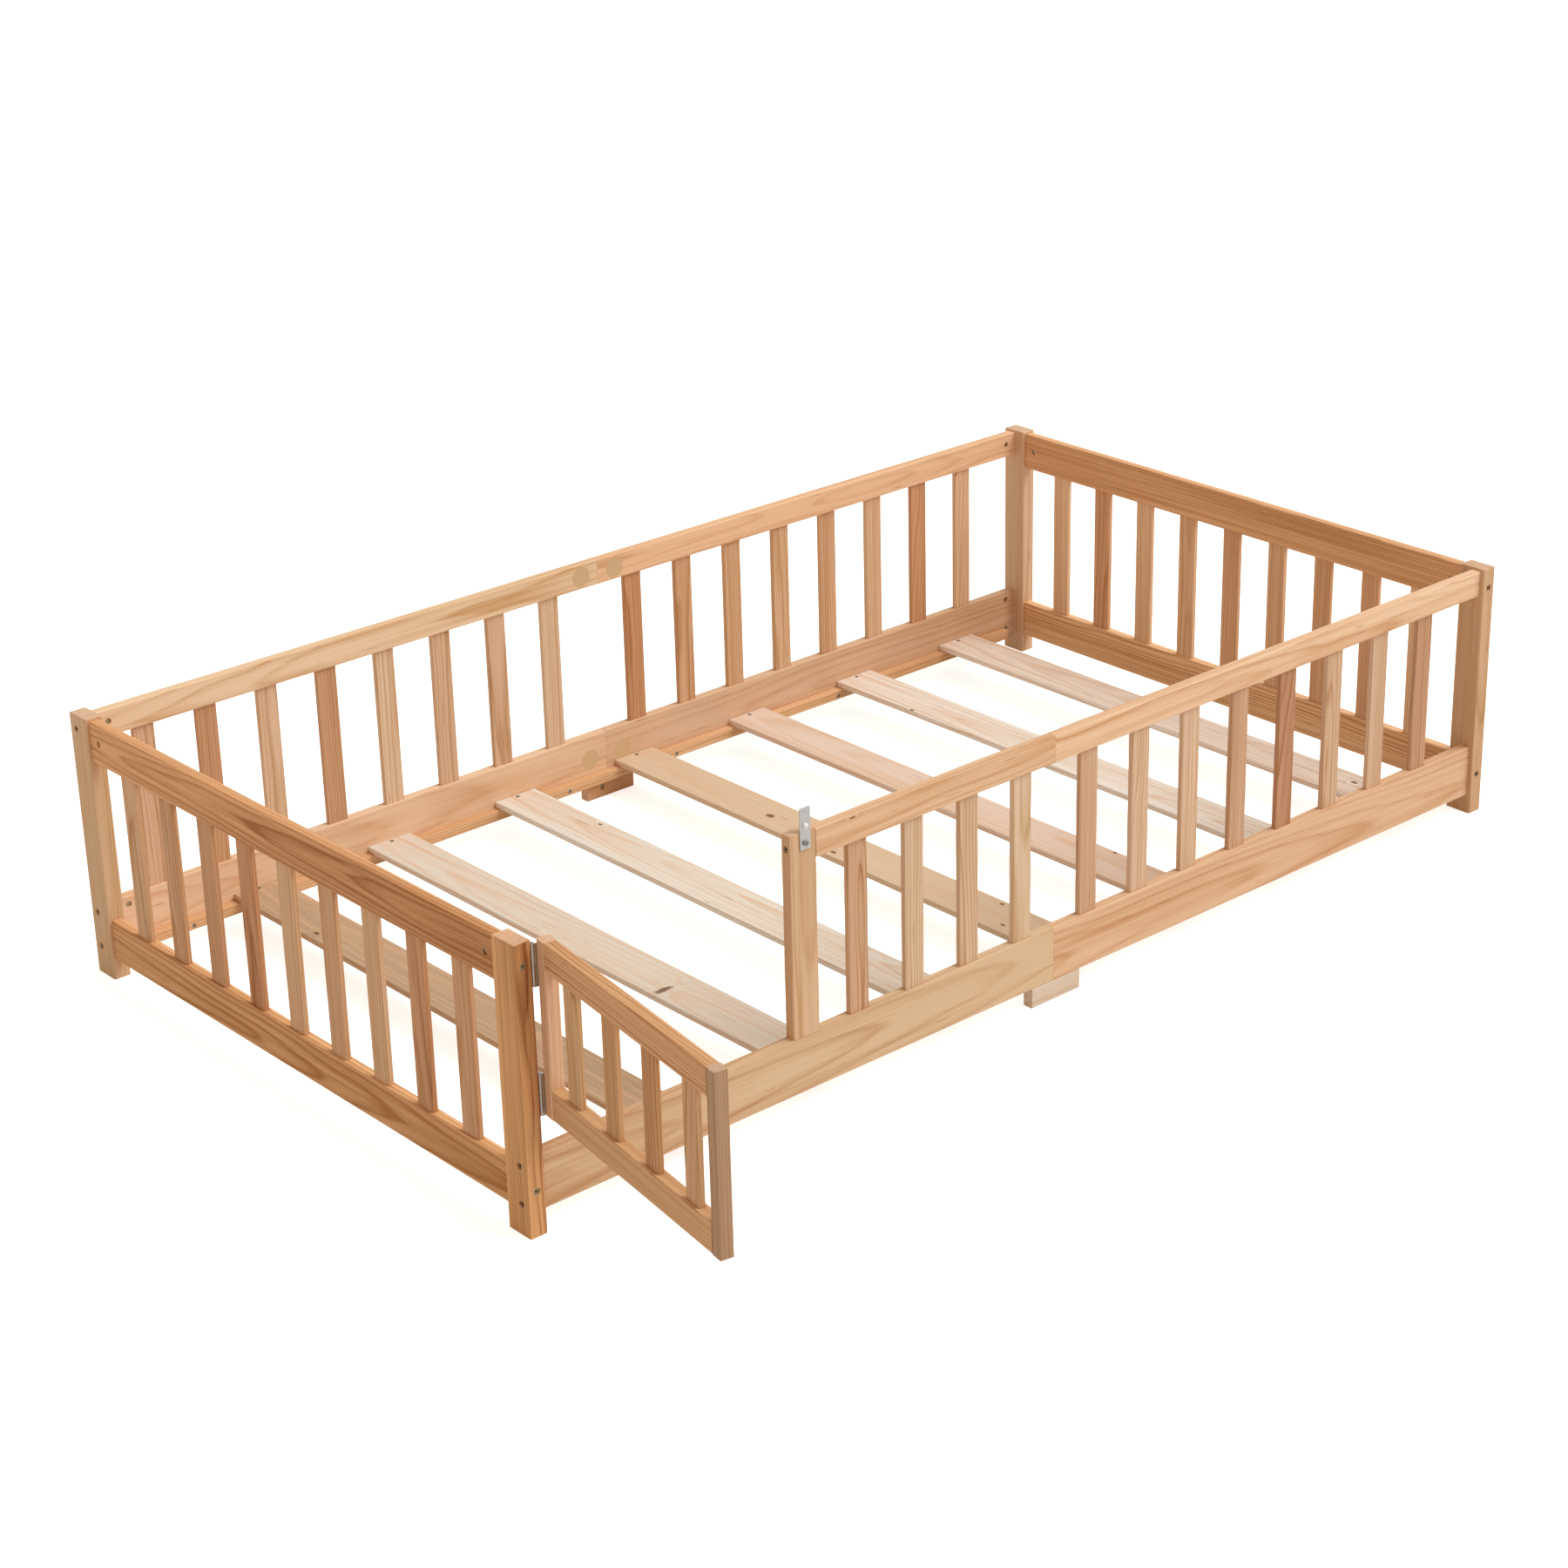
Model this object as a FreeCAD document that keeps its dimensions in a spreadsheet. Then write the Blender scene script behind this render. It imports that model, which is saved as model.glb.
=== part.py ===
import FreeCAD, Part
import os
import re

import Sketcher

# Toddler floor bed in solid pine: four corner posts, fence rails with flat balusters on
# all sides, seven slats on ledgers, and a small hinged gate with a turn-button latch.
# The bed's long way is X (foot end low, head end high), the gate is on the low-Y side,
# and Z is up from the floor.  Millimetres throughout.

SIZES = [
    # whole bed
    ("bed_length", 2000),              # over the posts, foot to head
    ("bed_width", 1100),               # over the posts, front to back
    ("edge_radius", 2),                # rounding along every board
    # corner posts
    ("post_height", 432),
    ("post_depth", 28),                # along the bed
    ("post_width", 48),                # across the bed
    # rails
    ("rail_thickness", 18),
    ("rail_inset", 7.5),               # side rails' faces behind the posts' outer faces
    ("top_rail_drop", 4),              # top rails below the post tops
    ("side_top_rail_height", 43),
    ("side_lower_rail_height", 87),
    ("side_floor_gap", 32),            # under the side lower rails
    ("end_top_rail_height", 65),
    ("end_lower_rail_height", 65),
    ("end_floor_gap", 33),             # under the end lower rails
    ("joint_shift", 12),               # side rails' joint, footward of mid length
    ("joint_gap", 0.3),                # open line between the two halves
    # balusters and their mortises
    ("baluster_width", 37),
    ("baluster_thickness", 9),
    ("tenon_length", 10),
    ("mortise_clearance", 0.2),
    ("half_row_count", 8),
    ("short_row_count", 4),            # between gate post and joint
    ("end_row_count", 9),
    ("foot_row_post_gap", 64),
    ("foot_row_joint_gap", 82),
    ("head_row_joint_gap", 58),
    ("head_row_post_gap", 112),
    ("short_row_post_gap", 61),
    ("short_row_joint_gap", 44),
    ("end_row_gap", 70),
    # gate post and doorway
    ("doorway_width", 446),            # foot post to gate post
    ("gate_post_width", 48),
    ("gate_post_drop", 1.5),           # its top below the corner posts' tops
    ("dowel_diameter", 8),
    ("dowel_length", 30),
    ("dowel_offset", 12),              # from the gate post's centre line
    ("dowel_clearance", 0.1),
    # feet under the joints
    ("mid_foot_length", 100),
    ("mid_foot_shift", 6),             # headward of the joint
    ("mid_foot_nut_height", 18),
    ("stud_offset", 12),               # stud footward of the joint
    ("stud_recess", 6),                # stud's lower tip above the floor
    ("stud_rise", 20),                 # stud's reach into the lower rail
    # slats on their ledgers
    ("ledger_depth", 15),
    ("ledger_height", 18),
    ("ledger_end_gap", 30),            # ledger end to corner post
    ("slat_count", 7),
    ("slat_width", 83),
    ("slat_thickness", 10),
    ("slat_foot_margin", 235),
    ("slat_head_margin", 140),
    ("slat_end_clearance", 0.5),
    # machine screws with barrel nuts
    ("bolt_diameter", 6),
    ("bolt_head_diameter", 10),
    ("bolt_head_height", 6),
    ("bolt_socket_width", 5.6),        # over the hexagon's corners
    ("bolt_socket_depth", 3),
    ("bolt_hole_clearance", 0.25),
    ("head_hole_clearance", 0.5),
    ("head_hole_depth", 8),
    ("bolt_tip", 8),                   # past the barrel nut's axis
    ("nut_setback", 22),               # barrel nut's axis from the rail's end
    ("barrel_nut_diameter", 10),
    ("barrel_nut_length", 13),
    ("barrel_hole_clearance", 0.1),
    ("thread_clearance", 0.05),
    ("top_bolt_drop", 19),             # below the side top rail's upper edge
    ("lower_bolt_drop", 14),           # below the side lower rail's upper edge
    ("lower_bolt_rise", 15),           # above the side lower rail's underside
    ("end_top_bolt_drop", 30),
    ("end_lower_bolt_rise", 35),
    # connectors across the joints
    ("connector_offset", 35.5),        # recess centre from the joint
    ("recess_diameter", 35),
    ("recess_depth", 15),
    ("cap_thickness", 3),
    ("cap_clearance", 0.15),
    ("connector_nut_width", 11.5),     # over the hexagon's corners
    ("connector_nut_thickness", 5),
    ("connector_nut_seat", 1.2),       # curved recess wall to the nut's flat face
    ("connector_bolt_tip", 4),
    # wood screws of the slats and ledgers
    ("wood_screw_diameter", 3.5),
    ("wood_screw_head_diameter", 7),
    ("wood_screw_head_height", 2.2),
    ("wood_screw_hole_clearance", 0.1),
    ("wood_screw_head_clearance", 0.3),
    ("wood_screw_sink", 0.6),          # head's top below the wood's face
    ("cross_width", 1),                # arms of the driver recess
    ("cross_span", 0.6),               # their share of the head's diameter
    ("cross_depth", 0.5),              # and of its height
    ("slat_screw_length", 16),
    ("ledger_screw_length", 25),
    ("ledger_screw_drop", 11),         # below the ledger's top
    ("ledger_screw_count", 3),         # in each half
    ("foot_ledger_screw_margin", 93),
    ("head_ledger_screw_margin", 52),
    ("head_ledger_joint_margin", 142),
    # gate
    ("gate_open_angle", 99),           # from closed, as it stands
    ("gate_rise", 56),                 # gate's underside above the lower rail
    ("gate_thickness", 20),
    ("stile_width", 20),
    ("gate_top_rail_height", 41),
    ("gate_bottom_rail_height", 44),
    ("gate_baluster_width", 33),
    ("gate_row_count", 4),
    ("gate_row_gap", 35),              # stile to first baluster
    ("hinge_gap", 7),                  # post to stile, the hinge's own room
    ("latch_gap", 2),                  # free stile to gate post
    # hinges
    ("hinge_inset", 3),                # pin's axis behind the posts' faces
    ("hinge_height", 62),
    ("hinge_leaf_width", 24),
    ("hinge_leaf_thickness", 1.2),
    ("knuckle_radius", 3.2),
    ("knuckle_gap", 0.4),
    ("knuckle_relief", 0.4),
    ("pin_diameter", 3),
    ("pin_clearance", 0.05),
    ("pin_overhang", 1),
    ("upper_hinge_drop", 7),           # its top below the gate's top
    ("hinge_screw_diameter", 3),
    ("hinge_screw_length", 14),
    ("hinge_screw_head_diameter", 5.6),
    ("hinge_screw_head_height", 1),
    ("hinge_screw_inset", 14),         # from the leaf's top and bottom edges
    ("hinge_screw_reach", 15.5),       # from the pin's axis
    # latch
    ("latch_width", 19),
    ("latch_length", 62.5),
    ("latch_thickness", 1.5),
    ("latch_clearance", 0.3),
    ("latch_shift", 3),                # headward of the gate post's centre line
    ("latch_tail", 9.5),               # plate's lower edge below the pivot
    ("latch_pivot_drop", 16.5),        # pivot below the gate post's top
    ("latch_screw_diameter", 4),
    ("latch_screw_length", 16),
    ("latch_screw_head_diameter", 8.4),
    ("latch_screw_head_height", 2.2),
    ("latch_button_diameter", 9),
    ("latch_button_rise", 25.5),       # above the pivot
]

LAYOUT = [
    # gate's own reach from the hinge pin, then the bed's place about the origin
    ("gate_width", "doorway_width - hinge_gap - latch_gap"),
    ("gate_near", "hinge_gap / 2"),
    ("gate_far", "gate_near + gate_width"),
    ("gate_face", "rail_inset - hinge_inset"),
    ("gate_back", "gate_face + gate_thickness"),
    ("hinge_x", "post_depth + gate_near"),
    ("hinge_y", "hinge_inset"),
    ("gate_overhang", "max(0; -hinge_x - gate_far * cos(gate_open_angle)"
                      " - gate_face * sin(gate_open_angle))"),
    ("gate_reach", "gate_far * sin(gate_open_angle) - hinge_inset"
                   " - min(gate_face * cos(gate_open_angle); gate_back * cos(gate_open_angle))"),
    ("x_foot", "(gate_overhang - bed_length) / 2"),
    ("y_front", "(gate_reach - bed_width) / 2"),
    # places along the bed
    ("joint_x", "bed_length / 2 - joint_shift"),
    ("foot_half_end", "joint_x - joint_gap / 2"),
    ("head_half_start", "joint_x + joint_gap / 2"),
    ("head_post_x", "bed_length - post_depth"),
    ("gate_post_x", "post_depth + doorway_width"),
    ("front_top_start", "gate_post_x + gate_post_width"),
    ("gate_post_mid", "gate_post_x + gate_post_width / 2"),
    ("end_rail_foot_x", "(post_depth - rail_thickness) / 2"),
    ("end_rail_head_x", "head_post_x + end_rail_foot_x"),
    # places across the bed
    ("front_rail_y", "rail_inset"),
    ("front_rail_in", "rail_inset + rail_thickness"),
    ("back_rail_in", "bed_width - rail_inset - rail_thickness"),
    ("front_rail_mid", "front_rail_y + rail_thickness / 2"),
    ("back_rail_mid", "back_rail_in + rail_thickness / 2"),
    ("back_post_y", "bed_width - post_width"),
    # heights
    ("rail_top", "post_height - top_rail_drop"),
    ("side_top_low", "rail_top - side_top_rail_height"),
    ("side_lower_top", "side_floor_gap + side_lower_rail_height"),
    ("end_top_low", "rail_top - end_top_rail_height"),
    ("end_lower_top", "end_floor_gap + end_lower_rail_height"),
    ("gate_post_top", "post_height - gate_post_drop"),
    ("ledger_top", "side_floor_gap + ledger_height"),
    ("gate_low", "side_lower_top + gate_rise"),
    ("gate_height", "post_height - gate_low"),
    # baluster rows: where each starts and its pitch
    ("foot_row_start", "post_depth + foot_row_post_gap"),
    ("foot_row_pitch", "(joint_x - foot_row_joint_gap - baluster_width - foot_row_start)"
                       " / (half_row_count - 1)"),
    ("head_row_start", "joint_x + head_row_joint_gap"),
    ("head_row_pitch", "(head_post_x - head_row_post_gap - baluster_width - head_row_start)"
                       " / (half_row_count - 1)"),
    ("short_row_start", "front_top_start + short_row_post_gap"),
    ("short_row_pitch", "(joint_x - short_row_joint_gap - baluster_width - short_row_start)"
                        " / (short_row_count - 1)"),
    ("end_row_start", "post_width + end_row_gap"),
    ("end_row_pitch", "(bed_width - 2 * end_row_start - baluster_width) / (end_row_count - 1)"),
    ("gate_row_start", "gate_near + stile_width + gate_row_gap"),
    ("gate_row_pitch", "(gate_width - 2 * stile_width - 2 * gate_row_gap - gate_baluster_width)"
                       " / (gate_row_count - 1)"),
    # slats
    ("slat_pitch", "(bed_length - slat_foot_margin - slat_head_margin - slat_width)"
                   " / (slat_count - 1)"),
    # bolts: heights, lengths under the head and hole sizes
    ("top_bolt_z", "rail_top - top_bolt_drop"),
    ("lower_bolt_high_z", "side_lower_top - lower_bolt_drop"),
    ("lower_bolt_low_z", "side_floor_gap + lower_bolt_rise"),
    ("end_top_bolt_z", "rail_top - end_top_bolt_drop"),
    ("end_lower_bolt_z", "end_floor_gap + end_lower_bolt_rise"),
    ("rail_bore_depth", "nut_setback + bolt_tip + bolt_hole_clearance"),
    ("short_bolt_length", "post_depth - head_hole_depth + nut_setback + bolt_tip"),
    ("long_bolt_length", "post_width - head_hole_depth + nut_setback + bolt_tip"),
    ("gate_post_bolt_shift", "gate_post_width - post_width"),
    ("bolt_hole", "bolt_diameter + 2 * bolt_hole_clearance"),
    ("head_hole", "bolt_head_diameter + 2 * head_hole_clearance"),
    ("barrel_hole", "barrel_nut_diameter + 2 * barrel_hole_clearance"),
    ("barrel_hole_depth", "(rail_thickness + barrel_nut_length) / 2"),
    # connectors
    ("side_top_mid", "side_top_low + side_top_rail_height / 2"),
    ("side_lower_mid", "side_floor_gap + side_lower_rail_height / 2"),
    ("connector_nut_at", "connector_offset - recess_diameter / 2 + connector_nut_seat"),
    ("connector_bolt_length", "2 * (connector_nut_at + connector_nut_thickness"
                              " + connector_bolt_tip)"),
    ("stud_length", "side_floor_gap - stud_recess + stud_rise"),
    ("stud_x", "joint_x - stud_offset"),
    ("mid_foot_x", "joint_x + mid_foot_shift - mid_foot_length / 2"),
    # wood screws
    ("wood_screw_hole", "wood_screw_diameter + 2 * wood_screw_hole_clearance"),
    ("wood_screw_head_hole", "wood_screw_head_diameter + 2 * wood_screw_head_clearance"),
    ("wood_screw_head_depth", "wood_screw_head_height + wood_screw_sink"),
    ("slat_screw_z", "ledger_top + slat_thickness - wood_screw_sink"),
    ("slat_screw_bite", "slat_screw_length + wood_screw_sink - slat_thickness"
                        " + wood_screw_hole_clearance"),
    ("ledger_screw_bite", "ledger_screw_length + wood_screw_sink - ledger_depth"
                          " + wood_screw_hole_clearance"),
    ("ledger_screw_z", "ledger_top - ledger_screw_drop"),
    ("ledger_foot_x", "post_depth + ledger_end_gap"),
    ("ledger_head_x", "head_post_x - ledger_end_gap"),
    ("foot_ledger_pitch", "(foot_half_end - ledger_foot_x - 2 * foot_ledger_screw_margin)"
                          " / (ledger_screw_count - 1)"),
    ("head_ledger_pitch", "(ledger_head_x - head_half_start - head_ledger_screw_margin"
                          " - head_ledger_joint_margin) / (ledger_screw_count - 1)"),
    # hinges and latch
    ("hinge_low", "gate_low"),
    ("hinge_spacing", "gate_height - upper_hinge_drop - hinge_height"),
    ("knuckle_length", "(hinge_height - knuckle_gap) / 2"),
    ("hinge_bore", "pin_diameter + 2 * pin_clearance"),
    ("hinge_screw_bite", "hinge_screw_length - hinge_leaf_thickness + wood_screw_hole_clearance"),
    ("hinge_screw_hole", "hinge_screw_diameter + 2 * wood_screw_hole_clearance"),
    ("latch_x", "gate_post_mid + latch_shift"),
    ("latch_y", "rail_inset"),
    ("latch_z", "gate_post_top - latch_pivot_drop"),
    ("latch_screw_hole", "latch_screw_diameter + 2 * wood_screw_hole_clearance"),
    ("latch_screw_bite", "latch_screw_length - latch_thickness - 2 * latch_clearance"
                         " + wood_screw_hole_clearance"),
]

CELL = dict(SIZES)
DERIVED = dict(LAYOUT)
HEXAGON = 6

doc = FreeCAD.newDocument("floor_bed")


# ---- the document's two sets of named values ------------------------------------------

def full(text):
    """An expression with each size and each derived value named with its container."""
    def name(match):
        word = match.group(0)
        if word in CELL:
            return "Sizes." + word
        if word in DERIVED:
            return "Layout." + word
        return word
    return re.sub(r"[a-z_]\w*", name, str(text))


sheet = doc.addObject("Spreadsheet::Sheet", "Sizes")
for row, (alias, number) in enumerate(SIZES, start=1):
    cell = "A%d" % row
    sheet.set(cell, str(number))
    sheet.setAlias(cell, alias)
doc.recompute()

layout = doc.addObject("App::VarSet", "Layout")
for alias, text in LAYOUT:
    layout.addProperty("App::PropertyFloat", alias, "Layout")
for alias, text in LAYOUT:
    layout.setExpression(alias, full(text))
doc.recompute()


# ---- how every piece is made ----------------------------------------------------------

BED, GATE, LATCH, OWN = "bed", "gate", "latch", "own"
NODES = []


def new_body(node, home=BED):
    """A body drawn in the bed's, the gate's or the latch's own axes, or a pattern piece."""
    body = doc.addObject("PartDesign::Body", node)
    body.Label = node
    body.AllowCompound = True
    if home != OWN:
        NODES.append(body)
        place(body, home)
    return body


def place(body, home):
    """Bed pieces start from the foot-front corner, gate pieces from the hinge pin's axis
    at floor level, turned open, and latch pieces from the pivot's axis."""
    spots = {
        BED: ("x_foot", "y_front", "0"),
        GATE: ("x_foot + hinge_x", "y_front + hinge_y", "0"),
        LATCH: ("x_foot + latch_x", "y_front + latch_y", "latch_z"),
    }
    if home == GATE:
        body.Placement = FreeCAD.Placement(
            FreeCAD.Vector(0, 0, 0), FreeCAD.Rotation(FreeCAD.Vector(0, 0, 1), -1))
        body.setExpression("Placement.Rotation.Angle", full("-gate_open_angle"))
    for axis, text in zip("xyz", spots[home]):
        body.setExpression("Placement.Base." + axis, full(text))


def origin_part(body, role):
    return [item for item in body.Origin.OriginFeatures if item.Role == role][0]


def sketch(body, axis, at):
    """A sketch square to an axis, where that axis has the value 'at'.  Its two ways are
    the other two axes in the order X, Y, Z."""
    plane = {"x": "YZ_Plane", "y": "XZ_Plane", "z": "XY_Plane"}[axis]
    drawing = body.newObject("Sketcher::SketchObject", body.Name + "_sketch")
    drawing.AttachmentSupport = (origin_part(body, plane), [""])
    drawing.MapMode = "FlatFace"
    sign = "-" if axis == "y" else ""
    drawing.setExpression("AttachmentOffset.Base.z", full("%s(%s)" % (sign, at)))
    return drawing


def tie(drawing, constraint, text):
    index = drawing.addConstraint(constraint)
    drawing.setExpression("Constraints[%d]" % index, full(text))


def rectangle(drawing, low, size):
    """A rectangle from its low corner, with every dimension tied."""
    corner = [FreeCAD.Vector(x, y, 0) for x, y in ((0, 0), (10, 0), (10, 10), (0, 10))]
    make = Sketcher.Constraint
    for side in range(4):
        drawing.addGeometry(Part.LineSegment(corner[side], corner[(side + 1) % 4]), False)
    for side in range(4):
        drawing.addConstraint(make("Coincident", side, 2, (side + 1) % 4, 1))
        drawing.addConstraint(make("Vertical" if side % 2 else "Horizontal", side))
    tie(drawing, make("DistanceX", -1, 1, 0, 1, 1.0), low[0])
    tie(drawing, make("DistanceY", -1, 1, 0, 1, 1.0), low[1])
    tie(drawing, make("DistanceX", 0, 1, 0, 2, 10.0), size[0])
    tie(drawing, make("DistanceY", 1, 1, 1, 2, 10.0), size[1])


def circles(drawing, centres, diameter):
    for number, centre in enumerate(centres):
        start = FreeCAD.Vector(20 * number, 0, 0)
        ring = drawing.addGeometry(Part.Circle(start, FreeCAD.Vector(0, 0, 1), 2.0), False)
        tie(drawing, Sketcher.Constraint("DistanceX", -1, 1, ring, 3, 1.0), centre[0])
        tie(drawing, Sketcher.Constraint("DistanceY", -1, 1, ring, 3, 1.0), centre[1])
        tie(drawing, Sketcher.Constraint("Diameter", ring, 4.0), diameter)


def finish(body, feature):
    body.Tip = feature
    doc.recompute()
    return feature


def pad(body, drawing, axis, length, forward=True):
    """Material from the sketch, forward along the axis or back along it."""
    feature = body.newObject("PartDesign::Pad", body.Name + "_pad")
    feature.Profile = drawing
    feature.setExpression("Length", full(length))
    feature.Reversed = forward == (axis == "y")
    return finish(body, feature)


def cut(body, drawing, axis, depth, forward=True):
    """A pocket from the sketch, forward or back along the axis; it must remove wood."""
    before = body.Shape.Volume
    feature = body.newObject("PartDesign::Pocket", body.Name + "_pocket")
    feature.Profile = drawing
    feature.setExpression("Length", full(depth))
    feature.Reversed = forward != (axis == "y")
    finish(body, feature)
    if body.Shape.Volume >= before:
        raise ValueError("a pocket in %s removes nothing" % body.Label)
    return feature


def round_edges(body, axis, above=None):
    """Round the straight edges that run along one axis of the body, or only those of
    them above a height."""
    way = {"x": FreeCAD.Vector(1, 0, 0), "y": FreeCAD.Vector(0, 1, 0),
           "z": FreeCAD.Vector(0, 0, 1)}[axis]
    base = body.Tip
    names = []
    for number, edge in enumerate(base.Shape.Edges, start=1):
        if edge.Curve.TypeId != "Part::GeomLine":
            continue
        if abs(edge.tangentAt(edge.FirstParameter).dot(way)) < 0.999:
            continue
        if above is None or edge.CenterOfMass.z > above:
            names.append("Edge%d" % number)
    feature = body.newObject("PartDesign::Fillet", body.Name + "_round")
    feature.Base = (base, names)
    feature.setExpression("Radius", full("edge_radius"))
    return finish(body, feature)


def repeat(body, features, axis, pitch, count):
    """The features again along an axis, 'count' of them in all."""
    feature = body.newObject("PartDesign::LinearPattern", body.Name + "_row")
    if features:
        feature.Originals = features
    else:
        feature.TransformMode = "Whole shape"
    feature.Direction = (origin_part(body, axis.upper() + "_Axis"), [""])
    feature.setExpression("Length", full("(%s) * (%s - 1)" % (pitch, count)))
    feature.setExpression("Occurrences", full(count))
    return finish(body, feature)


def board(node, grain, low, size, home=BED):
    """A straight board with its long edges rounded; 'grain' is its long way."""
    body = new_body(node, home)
    flat = [index for index in range(3) if "xyz"[index] != grain]
    along = "xyz".index(grain)
    drawing = sketch(body, grain, low[along])
    rectangle(drawing, [low[index] for index in flat], [size[index] for index in flat])
    pad(body, drawing, grain, size[along])
    round_edges(body, grain)
    return body


def drill(body, axis, start, centres, diameter, depth, forward=True):
    drawing = sketch(body, axis, start)
    circles(drawing, centres, diameter)
    return cut(body, drawing, axis, depth, forward)


# ---- balusters and their mortises -----------------------------------------------------

class Row:
    """A row of balusters: its way, first edge, pitch, count, and the wood's centre plane."""

    def __init__(self, axis, start, pitch, count, centre, width="baluster_width"):
        self.axis = axis
        self.start = start
        self.pitch = pitch
        self.count = count
        self.centre = centre
        self.width = width

    def section(self, drawing, spare="0"):
        """The first baluster's section, or its mortise with some room all round."""
        along = ("%s - %s" % (self.start, spare), "%s + 2 * %s" % (self.width, spare))
        across = ("%s - baluster_thickness / 2 - %s" % (self.centre, spare),
                  "baluster_thickness + 2 * %s" % spare)
        if self.axis == "x":
            rectangle(drawing, (along[0], across[0]), (along[1], across[1]))
        else:
            rectangle(drawing, (across[0], along[0]), (across[1], along[1]))


def mortises(body, row, at, down):
    """A row of mortises from a rail's face, down into it or up into it."""
    drawing = sketch(body, "z", at)
    row.section(drawing, "mortise_clearance")
    first = cut(body, drawing, "z", "tenon_length + mortise_clearance", forward=not down)
    repeat(body, [first], row.axis, row.pitch, row.count)


def balusters(node, row, low, high, home=BED):
    """The row's balusters, tenoned into the rails below and above."""
    body = new_body(node, home)
    drawing = sketch(body, "z", low + " - tenon_length")
    row.section(drawing)
    first = pad(body, drawing, "z", "%s - (%s) + 2 * tenon_length" % (high, low))
    repeat(body, [first], row.axis, row.pitch, row.count)
    round_edges(body, "z")
    return body


# ---- corner posts ---------------------------------------------------------------------

END_BOLTS = ("end_top_bolt_z", "end_lower_bolt_z")
SIDE_LOWER_BOLTS = ("lower_bolt_high_z", "lower_bolt_low_z")
SIDE_BOLTS = SIDE_LOWER_BOLTS + ("top_bolt_z",)


def corner_post(node, at_head, at_back, side_bolts):
    """A post with its through holes: the side rails' bolts go in from the end of the bed
    and the end rail's bolts from its front or back, each head in a wider hole."""
    x_low = "head_post_x" if at_head else "0"
    y_low = "back_post_y" if at_back else "0"
    body = board(node, "z", (x_low, y_low, "0"), ("post_depth", "post_width", "post_height"))
    round_edges(body, "x", above=CELL["post_height"] / 2)
    outer_x = "bed_length" if at_head else "0"
    outer_y = "bed_width" if at_back else "0"
    side_mid = "back_rail_mid" if at_back else "front_rail_mid"
    side = [(side_mid, height) for height in side_bolts]
    drill(body, "x", outer_x, side, "bolt_hole", "post_depth", forward=not at_head)
    drill(body, "x", outer_x, side, "head_hole", "head_hole_depth", forward=not at_head)
    end = [(x_low + " + post_depth / 2", height) for height in END_BOLTS]
    drill(body, "y", outer_y, end, "bolt_hole", "post_width", forward=not at_back)
    drill(body, "y", outer_y, end, "head_hole", "head_hole_depth", forward=not at_back)
    return body


post_foot_front = corner_post("post_foot_front", False, False, SIDE_LOWER_BOLTS)
corner_post("post_foot_back", False, True, SIDE_BOLTS)
corner_post("post_head_front", True, False, SIDE_BOLTS)
corner_post("post_head_back", True, True, SIDE_BOLTS)


# ---- foot and head ends ---------------------------------------------------------------

def end_rail(node, x_low, z_low, height, bolt_z, nut_face, nut_forward):
    """A rail between two posts of one end, bolted from both sides of the bed; its barrel
    nuts go in from the face at 'nut_face'."""
    body = board(node, "y", (x_low, "post_width", z_low),
                 ("rail_thickness", "bed_width - 2 * post_width", height))
    centre = [(x_low + " + rail_thickness / 2", bolt_z)]
    drill(body, "y", "post_width", centre, "bolt_hole", "rail_bore_depth")
    drill(body, "y", "back_post_y", centre, "bolt_hole", "rail_bore_depth", forward=False)
    nuts = [("post_width + nut_setback", bolt_z), ("back_post_y - nut_setback", bolt_z)]
    drill(body, "x", nut_face, nuts, "barrel_hole", "barrel_hole_depth", forward=nut_forward)
    return body


def bed_end(name, x_low):
    """One end: top rail, lower rail and the balusters between them."""
    row = Row("y", "end_row_start", "end_row_pitch", "end_row_count",
              x_low + " + rail_thickness / 2")
    top = end_rail(name + "_top_rail", x_low, "end_top_low", "end_top_rail_height",
                   "end_top_bolt_z", x_low, True)
    mortises(top, row, "end_top_low", down=False)
    lower = end_rail(name + "_lower_rail", x_low, "end_floor_gap", "end_lower_rail_height",
                     "end_lower_bolt_z", x_low + " + rail_thickness", False)
    mortises(lower, row, "end_lower_top", down=True)
    balusters(name + "_balusters", row, "end_lower_top", "end_top_low")


bed_end("foot", "end_rail_foot_x")
bed_end("head", "end_rail_head_x")


# ---- long sides -----------------------------------------------------------------------

class Side:
    """The front or the back: its rails' low face, inner face and middle plane."""

    def __init__(self, name, low, inner, middle, inward):
        self.name = name
        self.low = low
        self.inner = inner
        self.middle = middle
        self.inward = inward          # True where the inside of the bed is at higher Y


FRONT = Side("front", "front_rail_y", "front_rail_in", "front_rail_mid", True)
BACK = Side("back", "back_rail_in", "back_rail_in", "back_rail_mid", False)


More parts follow.
